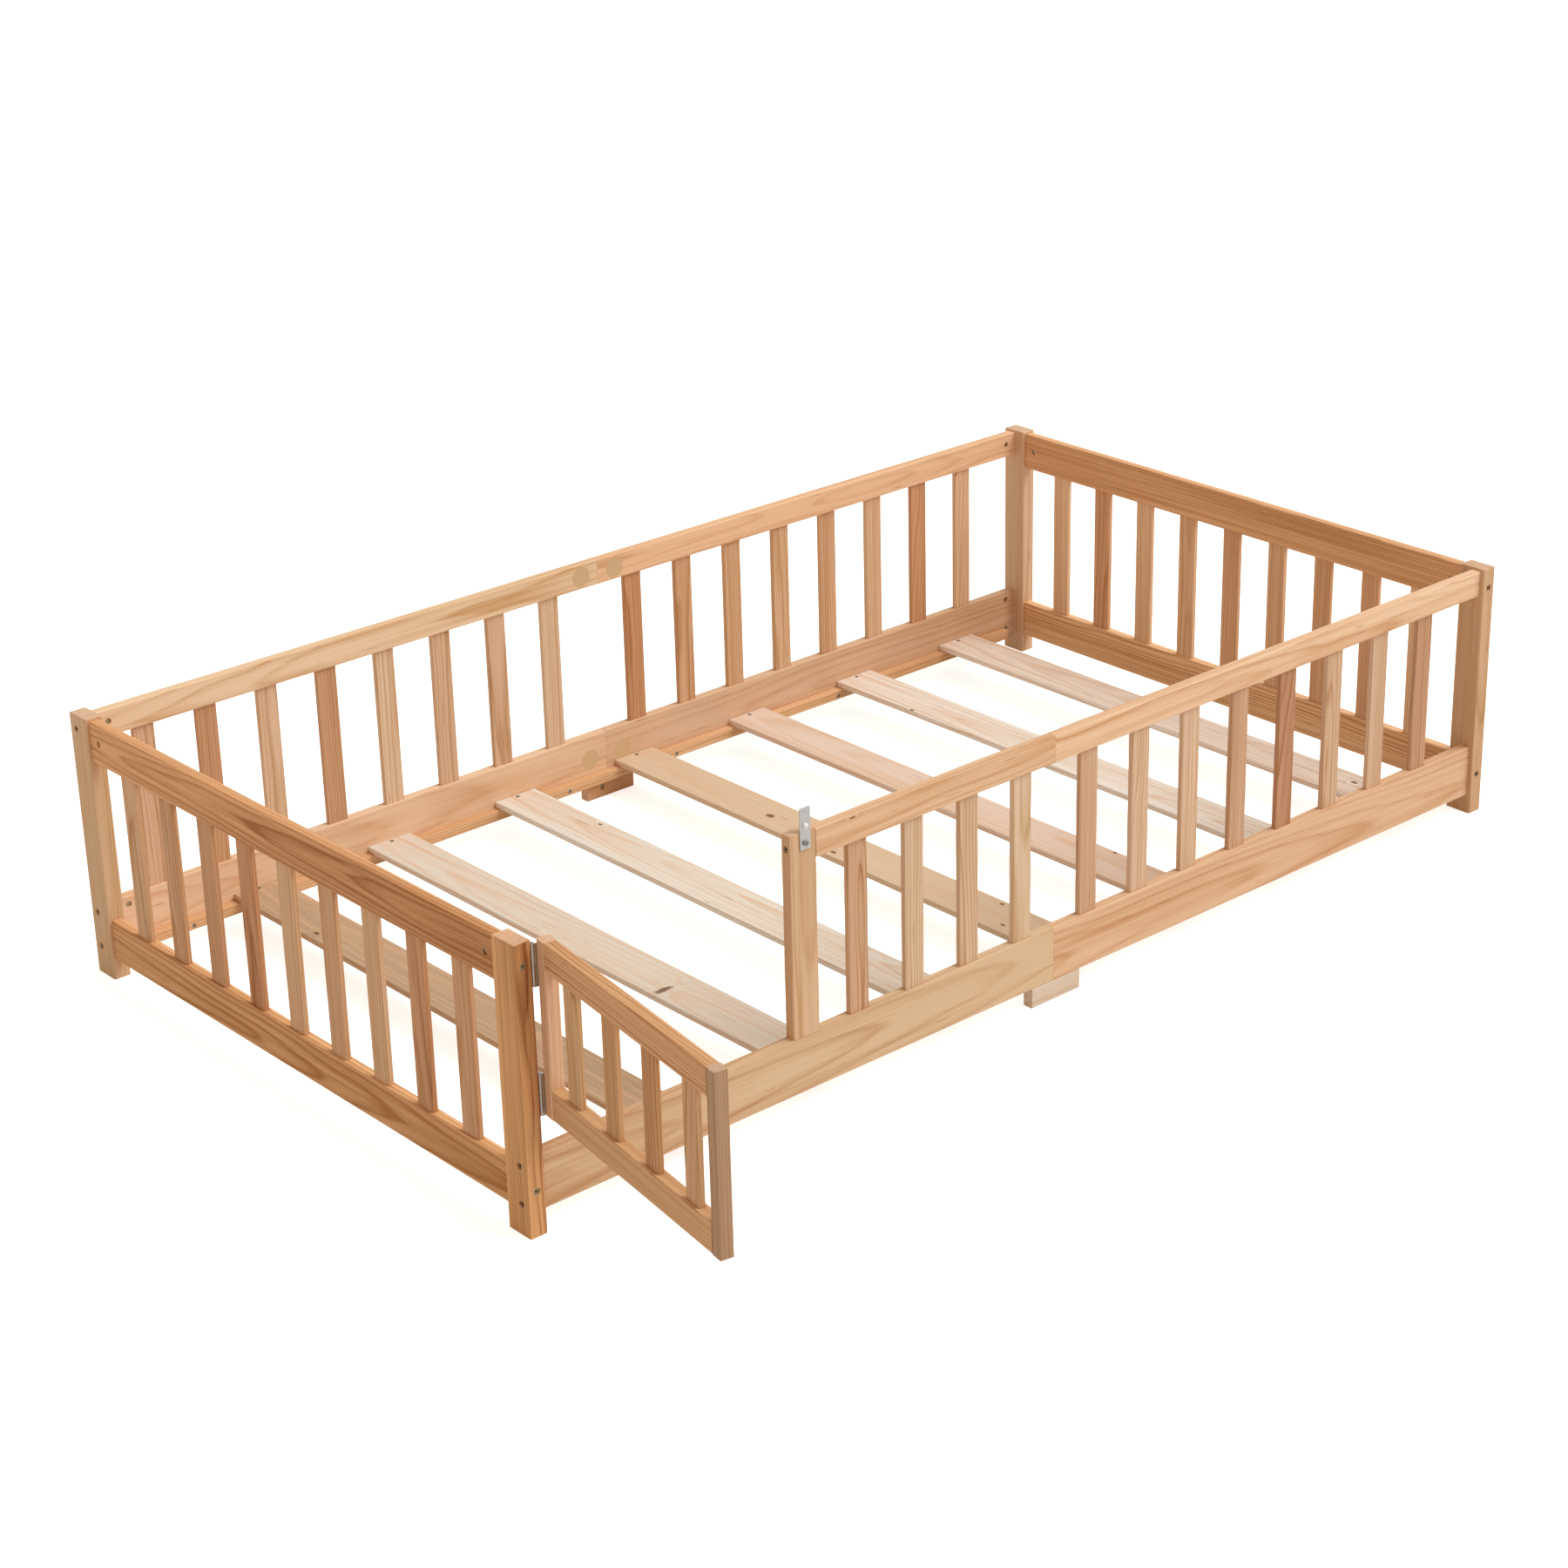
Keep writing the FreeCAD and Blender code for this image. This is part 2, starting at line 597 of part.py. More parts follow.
def side_rail(node, side, start, end, z_low, height, bolt_heights, at_foot):
    """Half of a side rail.  Its outer end is bolted with barrel nuts, and a connector in
    a round recess pulls its other end to the half beyond the joint."""
    body = board(node, "x", (start, side.low, z_low),
                 ("%s - (%s)" % (end, start), "rail_thickness", height))
    bolts = [(side.middle, z) for z in bolt_heights]
    outer = start if at_foot else end
    drill(body, "x", outer, bolts, "bolt_hole", "rail_bore_depth", forward=at_foot)
    nut_x = "%s %s nut_setback" % (outer, "+" if at_foot else "-")
    nuts = [(nut_x, z) for z in bolt_heights]
    drill(body, "y", side.inner, nuts, "barrel_hole", "barrel_hole_depth",
          forward=not side.inward)
    middle_z = "%s + %s / 2" % (z_low, height)
    recess_x = "joint_x %s connector_offset" % ("-" if at_foot else "+")
    drill(body, "y", side.inner, [(recess_x, middle_z)], "recess_diameter", "recess_depth",
          forward=not side.inward)
    drill(body, "x", end if at_foot else start, [(side.middle, middle_z)], "bolt_hole",
          "connector_offset", forward=not at_foot)
    return body


def ledger_screws_x(at_foot):
    """Where a ledger's screws lie along the bed."""
    first = "ledger_foot_x + foot_ledger_screw_margin"
    pitch = "foot_ledger_pitch"
    if not at_foot:
        first = "head_half_start + head_ledger_joint_margin"
        pitch = "head_ledger_pitch"
    return ["%s + %d * %s" % (first, number, pitch)
            for number in range(CELL["ledger_screw_count"])]


def lower_rail(node, side, start, end, row, at_foot):
    """A lower rail half, with mortises on top and the ledger's screw holes inside."""
    body = side_rail(node, side, start, end, "side_floor_gap", "side_lower_rail_height",
                     SIDE_LOWER_BOLTS, at_foot)
    mortises(body, row, "side_lower_top", down=True)
    screws = [(x, "ledger_screw_z") for x in ledger_screws_x(at_foot)]
    drill(body, "y", side.inner, screws, "wood_screw_hole", "ledger_screw_bite",
          forward=not side.inward)
    if at_foot:
        drill(body, "z", "side_floor_gap", [("stud_x", side.middle)], "bolt_hole",
              "stud_rise + bolt_hole_clearance")
    return body


def top_rail(node, side, start, end, row, at_foot):
    body = side_rail(node, side, start, end, "side_top_low", "side_top_rail_height",
                     ("top_bolt_z",), at_foot)
    mortises(body, row, "side_top_low", down=False)
    return body


def side_half(side, at_foot):
    """Top rail, lower rail and balusters of one half of a long side.  The front's foot
    half has its top rail and its balusters only beyond the gate post."""
    half = "_foot_half" if at_foot else "_head_half"
    start = "post_depth" if at_foot else "head_half_start"
    end = "foot_half_end" if at_foot else "head_post_x"
    top_start = start
    row = Row("x", "head_row_start", "head_row_pitch", "half_row_count", side.middle)
    if at_foot:
        row = Row("x", "foot_row_start", "foot_row_pitch", "half_row_count", side.middle)
    if at_foot and side is FRONT:
        top_start = "front_top_start"
        row = Row("x", "short_row_start", "short_row_pitch", "short_row_count", side.middle)
    top_rail(side.name + "_top_rail" + half, side, top_start, end, row, at_foot)
    lower = lower_rail(side.name + "_lower_rail" + half, side, start, end, row, at_foot)
    balusters(side.name + "_balusters" + half, row, "side_lower_top", "side_top_low")
    return lower


side_half(BACK, True)
side_half(BACK, False)
front_lower_foot_half = side_half(FRONT, True)
side_half(FRONT, False)


# ---- gate post, standing on the front lower rail ---------------------------------------

DOWELS_X = ("gate_post_mid - dowel_offset", "gate_post_mid + dowel_offset")


def gate_post():
    """The post that the gate closes against: dowelled to the lower rail, bolted to the
    front top rail, with the latch's screw hole in its face."""
    body = board("gate_post", "z", ("gate_post_x", "front_rail_y", "side_lower_top"),
                 ("gate_post_width", "rail_thickness", "gate_post_top - side_lower_top"))
    dowels = [(x, "front_rail_mid") for x in DOWELS_X]
    hole = "dowel_diameter + 2 * dowel_clearance"
    depth = "dowel_length / 2 + dowel_clearance"
    drill(body, "z", "side_lower_top", dowels, hole, depth)
    drill(front_lower_foot_half, "z", "side_lower_top", dowels, hole, depth, forward=False)
    bolt = [("front_rail_mid", "top_bolt_z")]
    drill(body, "x", "gate_post_x", bolt, "bolt_hole", "gate_post_width")
    drill(body, "x", "gate_post_x", bolt, "head_hole",
          "head_hole_depth + gate_post_bolt_shift")
    drill(body, "y", "front_rail_y", [("latch_x", "latch_z")], "latch_screw_hole",
          "latch_screw_bite")


gate_post()


# ---- ledgers, slats and the two feet under the joints ----------------------------------

def ledger(side, at_foot):
    """A strip along the inside of a lower rail that carries the slats' ends."""
    start = "ledger_foot_x" if at_foot else "head_half_start"
    end = "foot_half_end" if at_foot else "ledger_head_x"
    y_low = side.inner if side.inward else side.inner + " - ledger_depth"
    face = side.inner + (" + ledger_depth" if side.inward else " - ledger_depth")
    body = board("ledger_%s_%s_half" % (side.name, "foot" if at_foot else "head"), "x",
                 (start, y_low, "side_floor_gap"),
                 ("%s - %s" % (end, start), "ledger_depth", "ledger_height"))
    screws = [(x, "ledger_screw_z") for x in ledger_screws_x(at_foot)]
    drill(body, "y", face, screws, "wood_screw_hole", "ledger_depth",
          forward=not side.inward)
    drill(body, "y", face, screws, "wood_screw_head_hole", "wood_screw_head_depth",
          forward=not side.inward)
    return body


def slat_screw_y(side):
    """A slat's screws stand over the middle of the ledgers."""
    return "%s %s ledger_depth / 2" % (side.inner, "+" if side.inward else "-")


def slat_mid_x(number):
    return "slat_foot_margin + %d * slat_pitch + slat_width / 2" % number


def slat(number):
    body = board("slat_%d" % (number + 1), "y",
                 ("slat_foot_margin + %d * slat_pitch" % number,
                  "front_rail_in + slat_end_clearance", "ledger_top"),
                 ("slat_width", "back_rail_in - front_rail_in - 2 * slat_end_clearance",
                  "slat_thickness"))
    screws = [(slat_mid_x(number), slat_screw_y(side)) for side in (FRONT, BACK)]
    face = "ledger_top + slat_thickness"
    drill(body, "z", face, screws, "wood_screw_hole", "slat_thickness", forward=False)
    drill(body, "z", face, screws, "wood_screw_head_hole", "wood_screw_head_depth",
          forward=False)


LEDGERS = {(side.name, at_foot): ledger(side, at_foot)
           for side in (FRONT, BACK) for at_foot in (True, False)}
SLATS = range(CELL["slat_count"])
for index in SLATS:
    slat(index)

# Each slat's screws go into the ledger half that lies under its middle.
for (name, at_foot), strip in LEDGERS.items():
    side = FRONT if name == "front" else BACK
    under = [index for index in SLATS
             if (CELL["slat_foot_margin"] + index * layout.slat_pitch
                 + CELL["slat_width"] / 2 < layout.joint_x) == at_foot]
    drill(strip, "z", "ledger_top", [(slat_mid_x(index), slat_screw_y(side)) for index in under],
          "wood_screw_hole", "slat_screw_bite", forward=False)


def mid_foot(side):
    """A block under the joint of a lower rail, held by a stud and a barrel nut."""
    body = board("mid_foot_" + side.name, "x", ("mid_foot_x", side.low, "0"),
                 ("mid_foot_length", "rail_thickness", "side_floor_gap"))
    drill(body, "z", "side_floor_gap", [("stud_x", side.middle)], "bolt_hole",
          "side_floor_gap - stud_recess + bolt_hole_clearance", forward=False)
    drill(body, "y", side.inner, [("stud_x", "mid_foot_nut_height")], "barrel_hole",
          "barrel_hole_depth", forward=not side.inward)


mid_foot(FRONT)
mid_foot(BACK)


# ---- gate, drawn closed about the hinge pin's axis --------------------------------------

GATE_ROW = Row("x", "gate_row_start", "gate_row_pitch", "gate_row_count",
               "gate_face + gate_thickness / 2", "gate_baluster_width")


def stile(node, x_low):
    return board(node, "z", (x_low, "gate_face", "gate_low"),
                 ("stile_width", "gate_thickness", "gate_height"), GATE)


def gate_rail(node, z_low, height, mortise_z, down):
    body = board(node, "x", ("gate_near + stile_width", "gate_face", z_low),
                 ("gate_width - 2 * stile_width", "gate_thickness", height), GATE)
    mortises(body, GATE_ROW, mortise_z, down)


hinge_stile = stile("gate_hinge_stile", "gate_near")
stile("gate_latch_stile", "gate_far - stile_width")
gate_rail("gate_top_rail", "post_height - gate_top_rail_height", "gate_top_rail_height",
          "post_height - gate_top_rail_height", down=False)
gate_rail("gate_bottom_rail", "gate_low", "gate_bottom_rail_height",
          "gate_low + gate_bottom_rail_height", down=True)
balusters("gate_balusters", GATE_ROW, "gate_low + gate_bottom_rail_height",
          "post_height - gate_top_rail_height", GATE)


# ---- two butt hinges: one leaf of each on the post, the other on the gate's edge --------

HINGES = "2"
HINGE_SCREWS_Z = ["hinge_low + %s * hinge_spacing + %s" % (number, rise)
                  for number in range(int(HINGES))
                  for rise in ("hinge_screw_inset", "hinge_height - hinge_screw_inset")]


def hinge_leaves(node, home, axis_x, axis_y, leaf_x, screw_y, own_half, other_half):
    """A leaf with one knuckle round the pin, cleared round the other leaf's knuckle, and
    the same again for the upper hinge."""
    body = new_body(node, home)
    centre = [(axis_x, axis_y)]
    plate = sketch(body, "z", "hinge_low")
    rectangle(plate, (leaf_x, axis_y), ("hinge_leaf_thickness", "hinge_leaf_width"))
    pad(body, plate, "z", "hinge_height")
    relief = sketch(body, "z", "hinge_low + " + other_half)
    circles(relief, centre, "2 * (knuckle_radius + knuckle_relief)")
    cut(body, relief, "z", "knuckle_length + knuckle_gap")
    knuckle = sketch(body, "z", "hinge_low + " + own_half)
    circles(knuckle, centre, "2 * knuckle_radius")
    pad(body, knuckle, "z", "knuckle_length")
    drill(body, "z", "hinge_low", centre, "hinge_bore", "hinge_height")
    screws = [(screw_y, z) for z in HINGE_SCREWS_Z[:2]]
    drill(body, "x", leaf_x, screws, "hinge_screw_hole", "hinge_leaf_thickness")
    repeat(body, [], "z", "hinge_spacing", HINGES)


hinge_leaves("hinge_post_leaves", BED, "hinge_x", "hinge_y", "post_depth",
             "hinge_y + hinge_screw_reach", "0", "knuckle_length")
hinge_leaves("hinge_gate_leaves", GATE, "0", "0", "gate_near - hinge_leaf_thickness",
             "hinge_screw_reach", "knuckle_length + knuckle_gap", "0")
drill(post_foot_front, "x", "post_depth",
      [("hinge_y + hinge_screw_reach", z) for z in HINGE_SCREWS_Z],
      "hinge_screw_hole", "hinge_screw_bite", forward=False)
drill(hinge_stile, "x", "gate_near", [("hinge_screw_reach", z) for z in HINGE_SCREWS_Z],
      "hinge_screw_hole", "hinge_screw_bite")


def hinge_pins():
    body = new_body("hinge_pins")
    drawing = sketch(body, "z", "hinge_low - pin_overhang")
    circles(drawing, [("hinge_x", "hinge_y")], "pin_diameter")
    pad(body, drawing, "z", "hinge_height + 2 * pin_overhang")
    repeat(body, [], "z", "hinge_spacing", HINGES)


hinge_pins()


# ---- latch: a plate that turns on one screw, with a domed button -------------------------

def latch():
    plate = new_body("latch_plate", LATCH)
    drawing = sketch(plate, "y", "-latch_clearance")
    rectangle(drawing, ("-latch_width / 2", "-latch_tail"), ("latch_width", "latch_length"))
    pad(plate, drawing, "y", "latch_thickness", forward=False)
    drill(plate, "y", "-latch_clearance", [("0", "0")],
          "latch_screw_diameter + 2 * latch_clearance", "latch_thickness", forward=False)
    button = new_body("latch_button", LATCH)
    dome = button.newObject("PartDesign::AdditiveSphere", "latch_dome")
    dome.setExpression("Radius", full("latch_button_diameter / 2"))
    dome.Angle1 = 0
    dome.Placement = FreeCAD.Placement(
        FreeCAD.Vector(0, 0, 0), FreeCAD.Rotation(FreeCAD.Vector(1, 0, 0), 90))
    dome.setExpression("Placement.Base.y", full("-latch_clearance - latch_thickness"))
    dome.setExpression("Placement.Base.z", full("latch_button_rise"))
    finish(button, dome)


latch()


# ---- fasteners: each kind is made once along +X from its seat and then placed ------------

def piece(name):
    return new_body("pattern_" + name, OWN)


def add_cylinder(body, start, length, diameter):
    drawing = sketch(body, "x", start)
    circles(drawing, [("0", "0")], diameter)
    pad(body, drawing, "x", length)


def hexagon(body, kind, start, length, width):
    """A hexagonal prism on the piece's axis, added or cut away."""
    prism = body.newObject("PartDesign::%sPrism" % kind, body.Name + "_hexagon")
    prism.Polygon = HEXAGON
    prism.setExpression("Circumradius", full(width + " / 2"))
    prism.setExpression("Height", full(length))
    prism.Placement = FreeCAD.Placement(
        FreeCAD.Vector(0, 0, 0), FreeCAD.Rotation(FreeCAD.Vector(0, 1, 0), 90))
    prism.setExpression("Placement.Base.x", full(start))
    finish(body, prism)


def socket_bolt(name, length):
    """Head behind the origin, shank ahead of it, and a hexagon socket in the head."""
    body = piece(name)
    add_cylinder(body, "-bolt_head_height", "bolt_head_height", "bolt_head_diameter")
    add_cylinder(body, "0", length, "bolt_diameter")
    hexagon(body, "Subtractive", "-bolt_head_height", "bolt_socket_depth",
            "bolt_socket_width")
    return body


def cross_screw(name, length, diameter, head_diameter, head_height):
    """Head ahead of the origin's plane, shank through it, and a cross recess."""
    body = piece(name)
    add_cylinder(body, "0", head_height, head_diameter)
    add_cylinder(body, "0", length, diameter)
    arm = "cross_span * " + head_diameter
    for size in ((arm, "cross_width"), ("cross_width", arm)):
        drawing = sketch(body, "x", "0")
        rectangle(drawing, ["-(%s) / 2" % way for way in size], size)
        cut(body, drawing, "x", "cross_depth * " + head_height)
    return body


def plain_rod(name, length, diameter):
    body = piece(name)
    add_cylinder(body, "0", length, diameter)
    return body


def barrel_nut():
    """A cylinder across the bolt, centred on the origin, with the bolt's hole."""
    body = piece("barrel_nut")
    drawing = sketch(body, "y", "-barrel_nut_length / 2")
    circles(drawing, [("0", "0")], "barrel_nut_diameter")
    pad(body, drawing, "y", "barrel_nut_length")
    drill(body, "x", "-barrel_nut_diameter / 2", [("0", "0")],
          "bolt_diameter + 2 * thread_clearance", "barrel_nut_diameter")
    return body


def hexagon_nut():
    body = piece("connector_nut")
    hexagon(body, "Additive", "0", "connector_nut_thickness", "connector_nut_width")
    drill(body, "x", "0", [("0", "0")], "bolt_diameter + 2 * thread_clearance",
          "connector_nut_thickness")
    return body


# Turns that point a fastener's +X along each way.
TURNS = {
    "+x": FreeCAD.Rotation(0, 0, 0),
    "-x": FreeCAD.Rotation(180, 0, 0),
    "+y": FreeCAD.Rotation(90, 0, 0),
    "-y": FreeCAD.Rotation(-90, 0, 0),
    "+z": FreeCAD.Rotation(0, -90, 0),
    "-z": FreeCAD.Rotation(0, 90, 0),
}


def fasteners(node, master, places, home=BED):
    """Copies of one fastener as one group: each place is a point in the bed's axes, or
    the gate's, and the way that the fastener points."""
    copies = []
    for x, y, z, way in places:
        link = doc.addObject("App::Link", node + "_link")
        link.LinkedObject = master
        link.Placement = FreeCAD.Placement(FreeCAD.Vector(0, 0, 0), TURNS[way])
        link.setExpression("Placement.Base.x", full(x))
        link.setExpression("Placement.Base.y", full(y))
        link.setExpression("Placement.Base.z", full(z))
        copies.append(link)
    group = doc.addObject("Part::Compound", node)
    group.Label = node
    group.Links = copies
    place(group, home)
    NODES.append(group)
    doc.recompute()


FOOT_MID = "end_rail_foot_x + rail_thickness / 2"
HEAD_MID = "end_rail_head_x + rail_thickness / 2"

short_places = [("head_hole_depth", "front_rail_mid", z, "+x") for z in SIDE_LOWER_BOLTS]
short_places += [("head_hole_depth", "back_rail_mid", z, "+x") for z in SIDE_BOLTS]
short_places += [("bed_length - head_hole_depth", y, z, "-x")
                 for y in ("front_rail_mid", "back_rail_mid") for z in SIDE_BOLTS]
fasteners("short_bolts", socket_bolt("short_bolt", "short_bolt_length"), short_places)

long_places = [(x, "head_hole_depth", z, "+y") for x in (FOOT_MID, HEAD_MID)
               for z in END_BOLTS]
long_places += [(x, "bed_width - head_hole_depth", z, "-y") for x in (FOOT_MID, HEAD_MID)
                for z in END_BOLTS]
long_places += [("gate_post_x + head_hole_depth + gate_post_bolt_shift", "front_rail_mid",
                 "top_bolt_z", "+x")]
fasteners("long_bolts", socket_bolt("long_bolt", "long_bolt_length"), long_places)

nut_places = [("post_depth + nut_setback", "front_rail_mid", z, "+x")
              for z in SIDE_LOWER_BOLTS]
nut_places += [("post_depth + nut_setback", "back_rail_mid", z, "+x") for z in SIDE_BOLTS]
nut_places += [("head_post_x - nut_setback", y, z, "+x")
               for y in ("front_rail_mid", "back_rail_mid") for z in SIDE_BOLTS]
nut_places += [("front_top_start + nut_setback", "front_rail_mid", "top_bolt_z", "+x")]
nut_places += [(x, y, z, "+y") for x in (FOOT_MID, HEAD_MID)
               for y in ("post_width + nut_setback", "back_post_y - nut_setback")
               for z in END_BOLTS]
nut_places += [("stud_x", y, "mid_foot_nut_height", "+z")
               for y in ("front_rail_mid", "back_rail_mid")]
fasteners("barrel_nuts", barrel_nut(), nut_places)

SIDE_MIDS = ("front_rail_mid", "back_rail_mid")
RAIL_MIDS = ("side_top_mid", "side_lower_mid")
fasteners("connector_bolts", plain_rod("connector_bolt", "connector_bolt_length", "bolt_diameter"),
          [("joint_x - connector_bolt_length / 2", y, z, "+x")
           for y in SIDE_MIDS for z in RAIL_MIDS])
fasteners("connector_nuts", hexagon_nut(),
          [("joint_x %s connector_nut_at" % sign, y, z, way)
           for y in SIDE_MIDS for z in RAIL_MIDS for sign, way in (("-", "-x"), ("+", "+x"))])
fasteners("connector_caps",
          plain_rod("connector_cap", "cap_thickness", "recess_diameter - 2 * cap_clearance"),
          [("joint_x %s connector_offset" % sign, side.inner, z,
            "-y" if side.inward else "+y")
           for side in (FRONT, BACK) for z in RAIL_MIDS for sign in "-+"])

fasteners("mid_foot_studs", plain_rod("mid_foot_stud", "stud_length", "bolt_diameter"),
          [("stud_x", y, "stud_recess", "+z") for y in SIDE_MIDS])

fasteners("slat_screws",
          cross_screw("slat_screw", "slat_screw_length", "wood_screw_diameter",
                      "wood_screw_head_diameter", "wood_screw_head_height"),
          [(slat_mid_x(index), slat_screw_y(side), "slat_screw_z", "-z")
           for index in SLATS for side in (FRONT, BACK)])
fasteners("ledger_screws",
          cross_screw("ledger_screw", "ledger_screw_length", "wood_screw_diameter",
                      "wood_screw_head_diameter", "wood_screw_head_height"),
          [(x, "%s %s (ledger_depth - wood_screw_sink)" % (side.inner, "+" if side.inward else "-"),
            "ledger_screw_z", "-y" if side.inward else "+y")
           for side in (FRONT, BACK) for at_foot in (True, False)
           for x in ledger_screws_x(at_foot)])
fasteners("gate_post_dowels", plain_rod("gate_post_dowel", "dowel_length", "dowel_diameter"),
          [(x, "front_rail_mid", "side_lower_top - dowel_length / 2", "+z")
           for x in DOWELS_X])

hinge_screw = cross_screw("hinge_screw", "hinge_screw_length + hinge_screw_head_height",
                          "hinge_screw_diameter", "hinge_screw_head_diameter",
                          "hinge_screw_head_height")
fasteners("hinge_post_screws", hinge_screw,
          [("post_depth + hinge_leaf_thickness + hinge_screw_head_height",
            "hinge_y + hinge_screw_reach", z, "-x") for z in HINGE_SCREWS_Z])
fasteners("hinge_gate_screws", hinge_screw,
          [("gate_near - hinge_leaf_thickness - hinge_screw_head_height",
            "hinge_screw_reach", z, "+x") for z in HINGE_SCREWS_Z], GATE)
fasteners("latch_pivot_screw",
          cross_screw("latch_screw", "latch_screw_length + latch_screw_head_height",
                      "latch_screw_diameter", "latch_screw_head_diameter",
                      "latch_screw_head_height"),
          [("latch_x", "latch_y - 2 * latch_clearance - latch_thickness"
                       " - latch_screw_head_height", "latch_z", "+y")])


# ---- check and write --------------------------------------------------------------------

doc.recompute()
for item in doc.Objects:
    if "Invalid" in item.State or "Error" in item.State:
        raise ValueError("%s failed: %s" % (item.Label, item.State))

os.makedirs("parts", exist_ok=True)
for node in NODES:
    if node.Shape.isNull() or not node.Shape.isValid():
        raise ValueError(node.Label + " has no valid shape")
for node in NODES:
    node.Shape.exportStep("parts/%s.step" % node.Label)
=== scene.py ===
import math

import bpy
from mathutils import Matrix, Quaternion, Vector


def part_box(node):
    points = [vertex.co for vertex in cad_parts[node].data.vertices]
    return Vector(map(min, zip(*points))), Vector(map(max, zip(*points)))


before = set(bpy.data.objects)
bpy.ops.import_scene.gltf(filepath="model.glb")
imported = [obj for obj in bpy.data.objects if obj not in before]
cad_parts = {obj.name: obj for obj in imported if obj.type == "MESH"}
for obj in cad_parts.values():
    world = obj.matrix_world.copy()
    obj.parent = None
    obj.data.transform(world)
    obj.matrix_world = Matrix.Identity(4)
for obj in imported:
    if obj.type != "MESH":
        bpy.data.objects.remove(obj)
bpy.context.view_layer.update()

bpy.ops.object.select_all(action="DESELECT")

# ---------------------------------------------------------------- corner posts
# Four planed pine posts, 28 x 48 mm, eased along their edges and clear lacquered. The rails are bolted
# to them. Their grain runs upright, and the pink end grain shows on top with its rings cut across.

MM = 1000.0
LACQUER_IOR = 1.5
LACQUER_SPECULAR = 0.12
ROUGH_LEAST, ROUGH_MOST = 0.48, 0.64
RELIEF, RELIEF_SHARE = 0.0002, 0.25

# Each unevenness of the wood: its size across the grain and along it in mm, and its detail.
BOW, WAVE, CURL = (70, 420, 1.0), (16, 130, 1.0), (3.0, 60, 0.0)
FIBRE, STREAK, DRIFT, FLECK = (2.2, 260, 2.0), (7.0, 520, 1.0), (45, 700, 1.0), (3.0, 55, 0.0)

# How far the first three move the pith line, in mm, and how much the next three change the tone.
BOW_SWING, WAVE_SWING, CURL_SWING = 16.0, 2.6, 0.5
FIBRE_SWING, STREAK_SWING, DRIFT_SWING = 0.7, 0.8, 0.8

# How far apart two boards' unevenness is taken, for each mm between their pith lines.
APART = (31.0, 17.0, 57.0)

# How dark a ring is through its year, from spring to winter, and how faint a poor year's ring is.
YEAR = [(0.0, 0.55), (0.10, 0.06), (0.45, 0.0), (0.78, 0.5), (0.93, 1.0), (1.0, 0.55)]
POOR_YEAR = 0.35
GROUND_TONE = 0.14

# Resin flecks: their colour, how much of it shows, and the crests of the unevenness that they take.
RESIN, RESIN_SHARE, RESIN_FROM, RESIN_TO = "#A06A3C", 0.5, 0.79, 0.87

# End grain: its colour, how much of it shows, and how squarely a face has to cut the grain for it.
END_GRAIN, END_GRAIN_SHARE, END_GRAIN_FROM, END_GRAIN_TO = "#E3C0A6", 0.5, 0.55, 0.95

# Knots, in their own radii: how frayed the edge is, where the rings begin to swell and where the swell
# is full and how far, where the dark core begins and where it is full, and how much of it shows.
KNOT, KNOT_FRAY = "#6E4325", 1.6
SWELL_FROM, SWELL_TO, SWELL = 4.0, 0.8, 2.2
CORE_FROM, CORE_TO, CORE_SHARE = 1.7, 1.2, 0.85


def linear(hex_colour):
    """An sRGB hex value as the linear colour that a shader socket takes."""
    parts = [int(hex_colour[i:i + 2], 16) / 255 for i in (1, 3, 5)]
    return [p / 12.92 if p <= 0.04045 else ((p + 0.055) / 1.055) ** 2.4 for p in parts] + [1.0]


def add(tree, kind, inputs=None, **settings):
    """Add a node: its settings, then each input as a constant, a node, or (node, output)."""
    made = tree.nodes.new(kind)
    for name, value in settings.items():
        setattr(made, name, value)
    for socket, value in (inputs or {}).items():
        linked = isinstance(value, tuple) and isinstance(value[0], bpy.types.Node)
        source, output = value if linked else (value, 0)
        if isinstance(source, bpy.types.Node):
            tree.links.new(source.outputs[output], made.inputs[socket])
        else:
            made.inputs[socket].default_value = value
    return made


def ramp(made, stops):
    """Set a colour ramp's stops, given as (place, grey)."""
    elements = made.color_ramp.elements
    while len(elements) < len(stops):
        elements.new(0.5)
    for element, (place, grey) in zip(elements, stops):
        element.position = place
        element.color = (grey, grey, grey, 1.0)


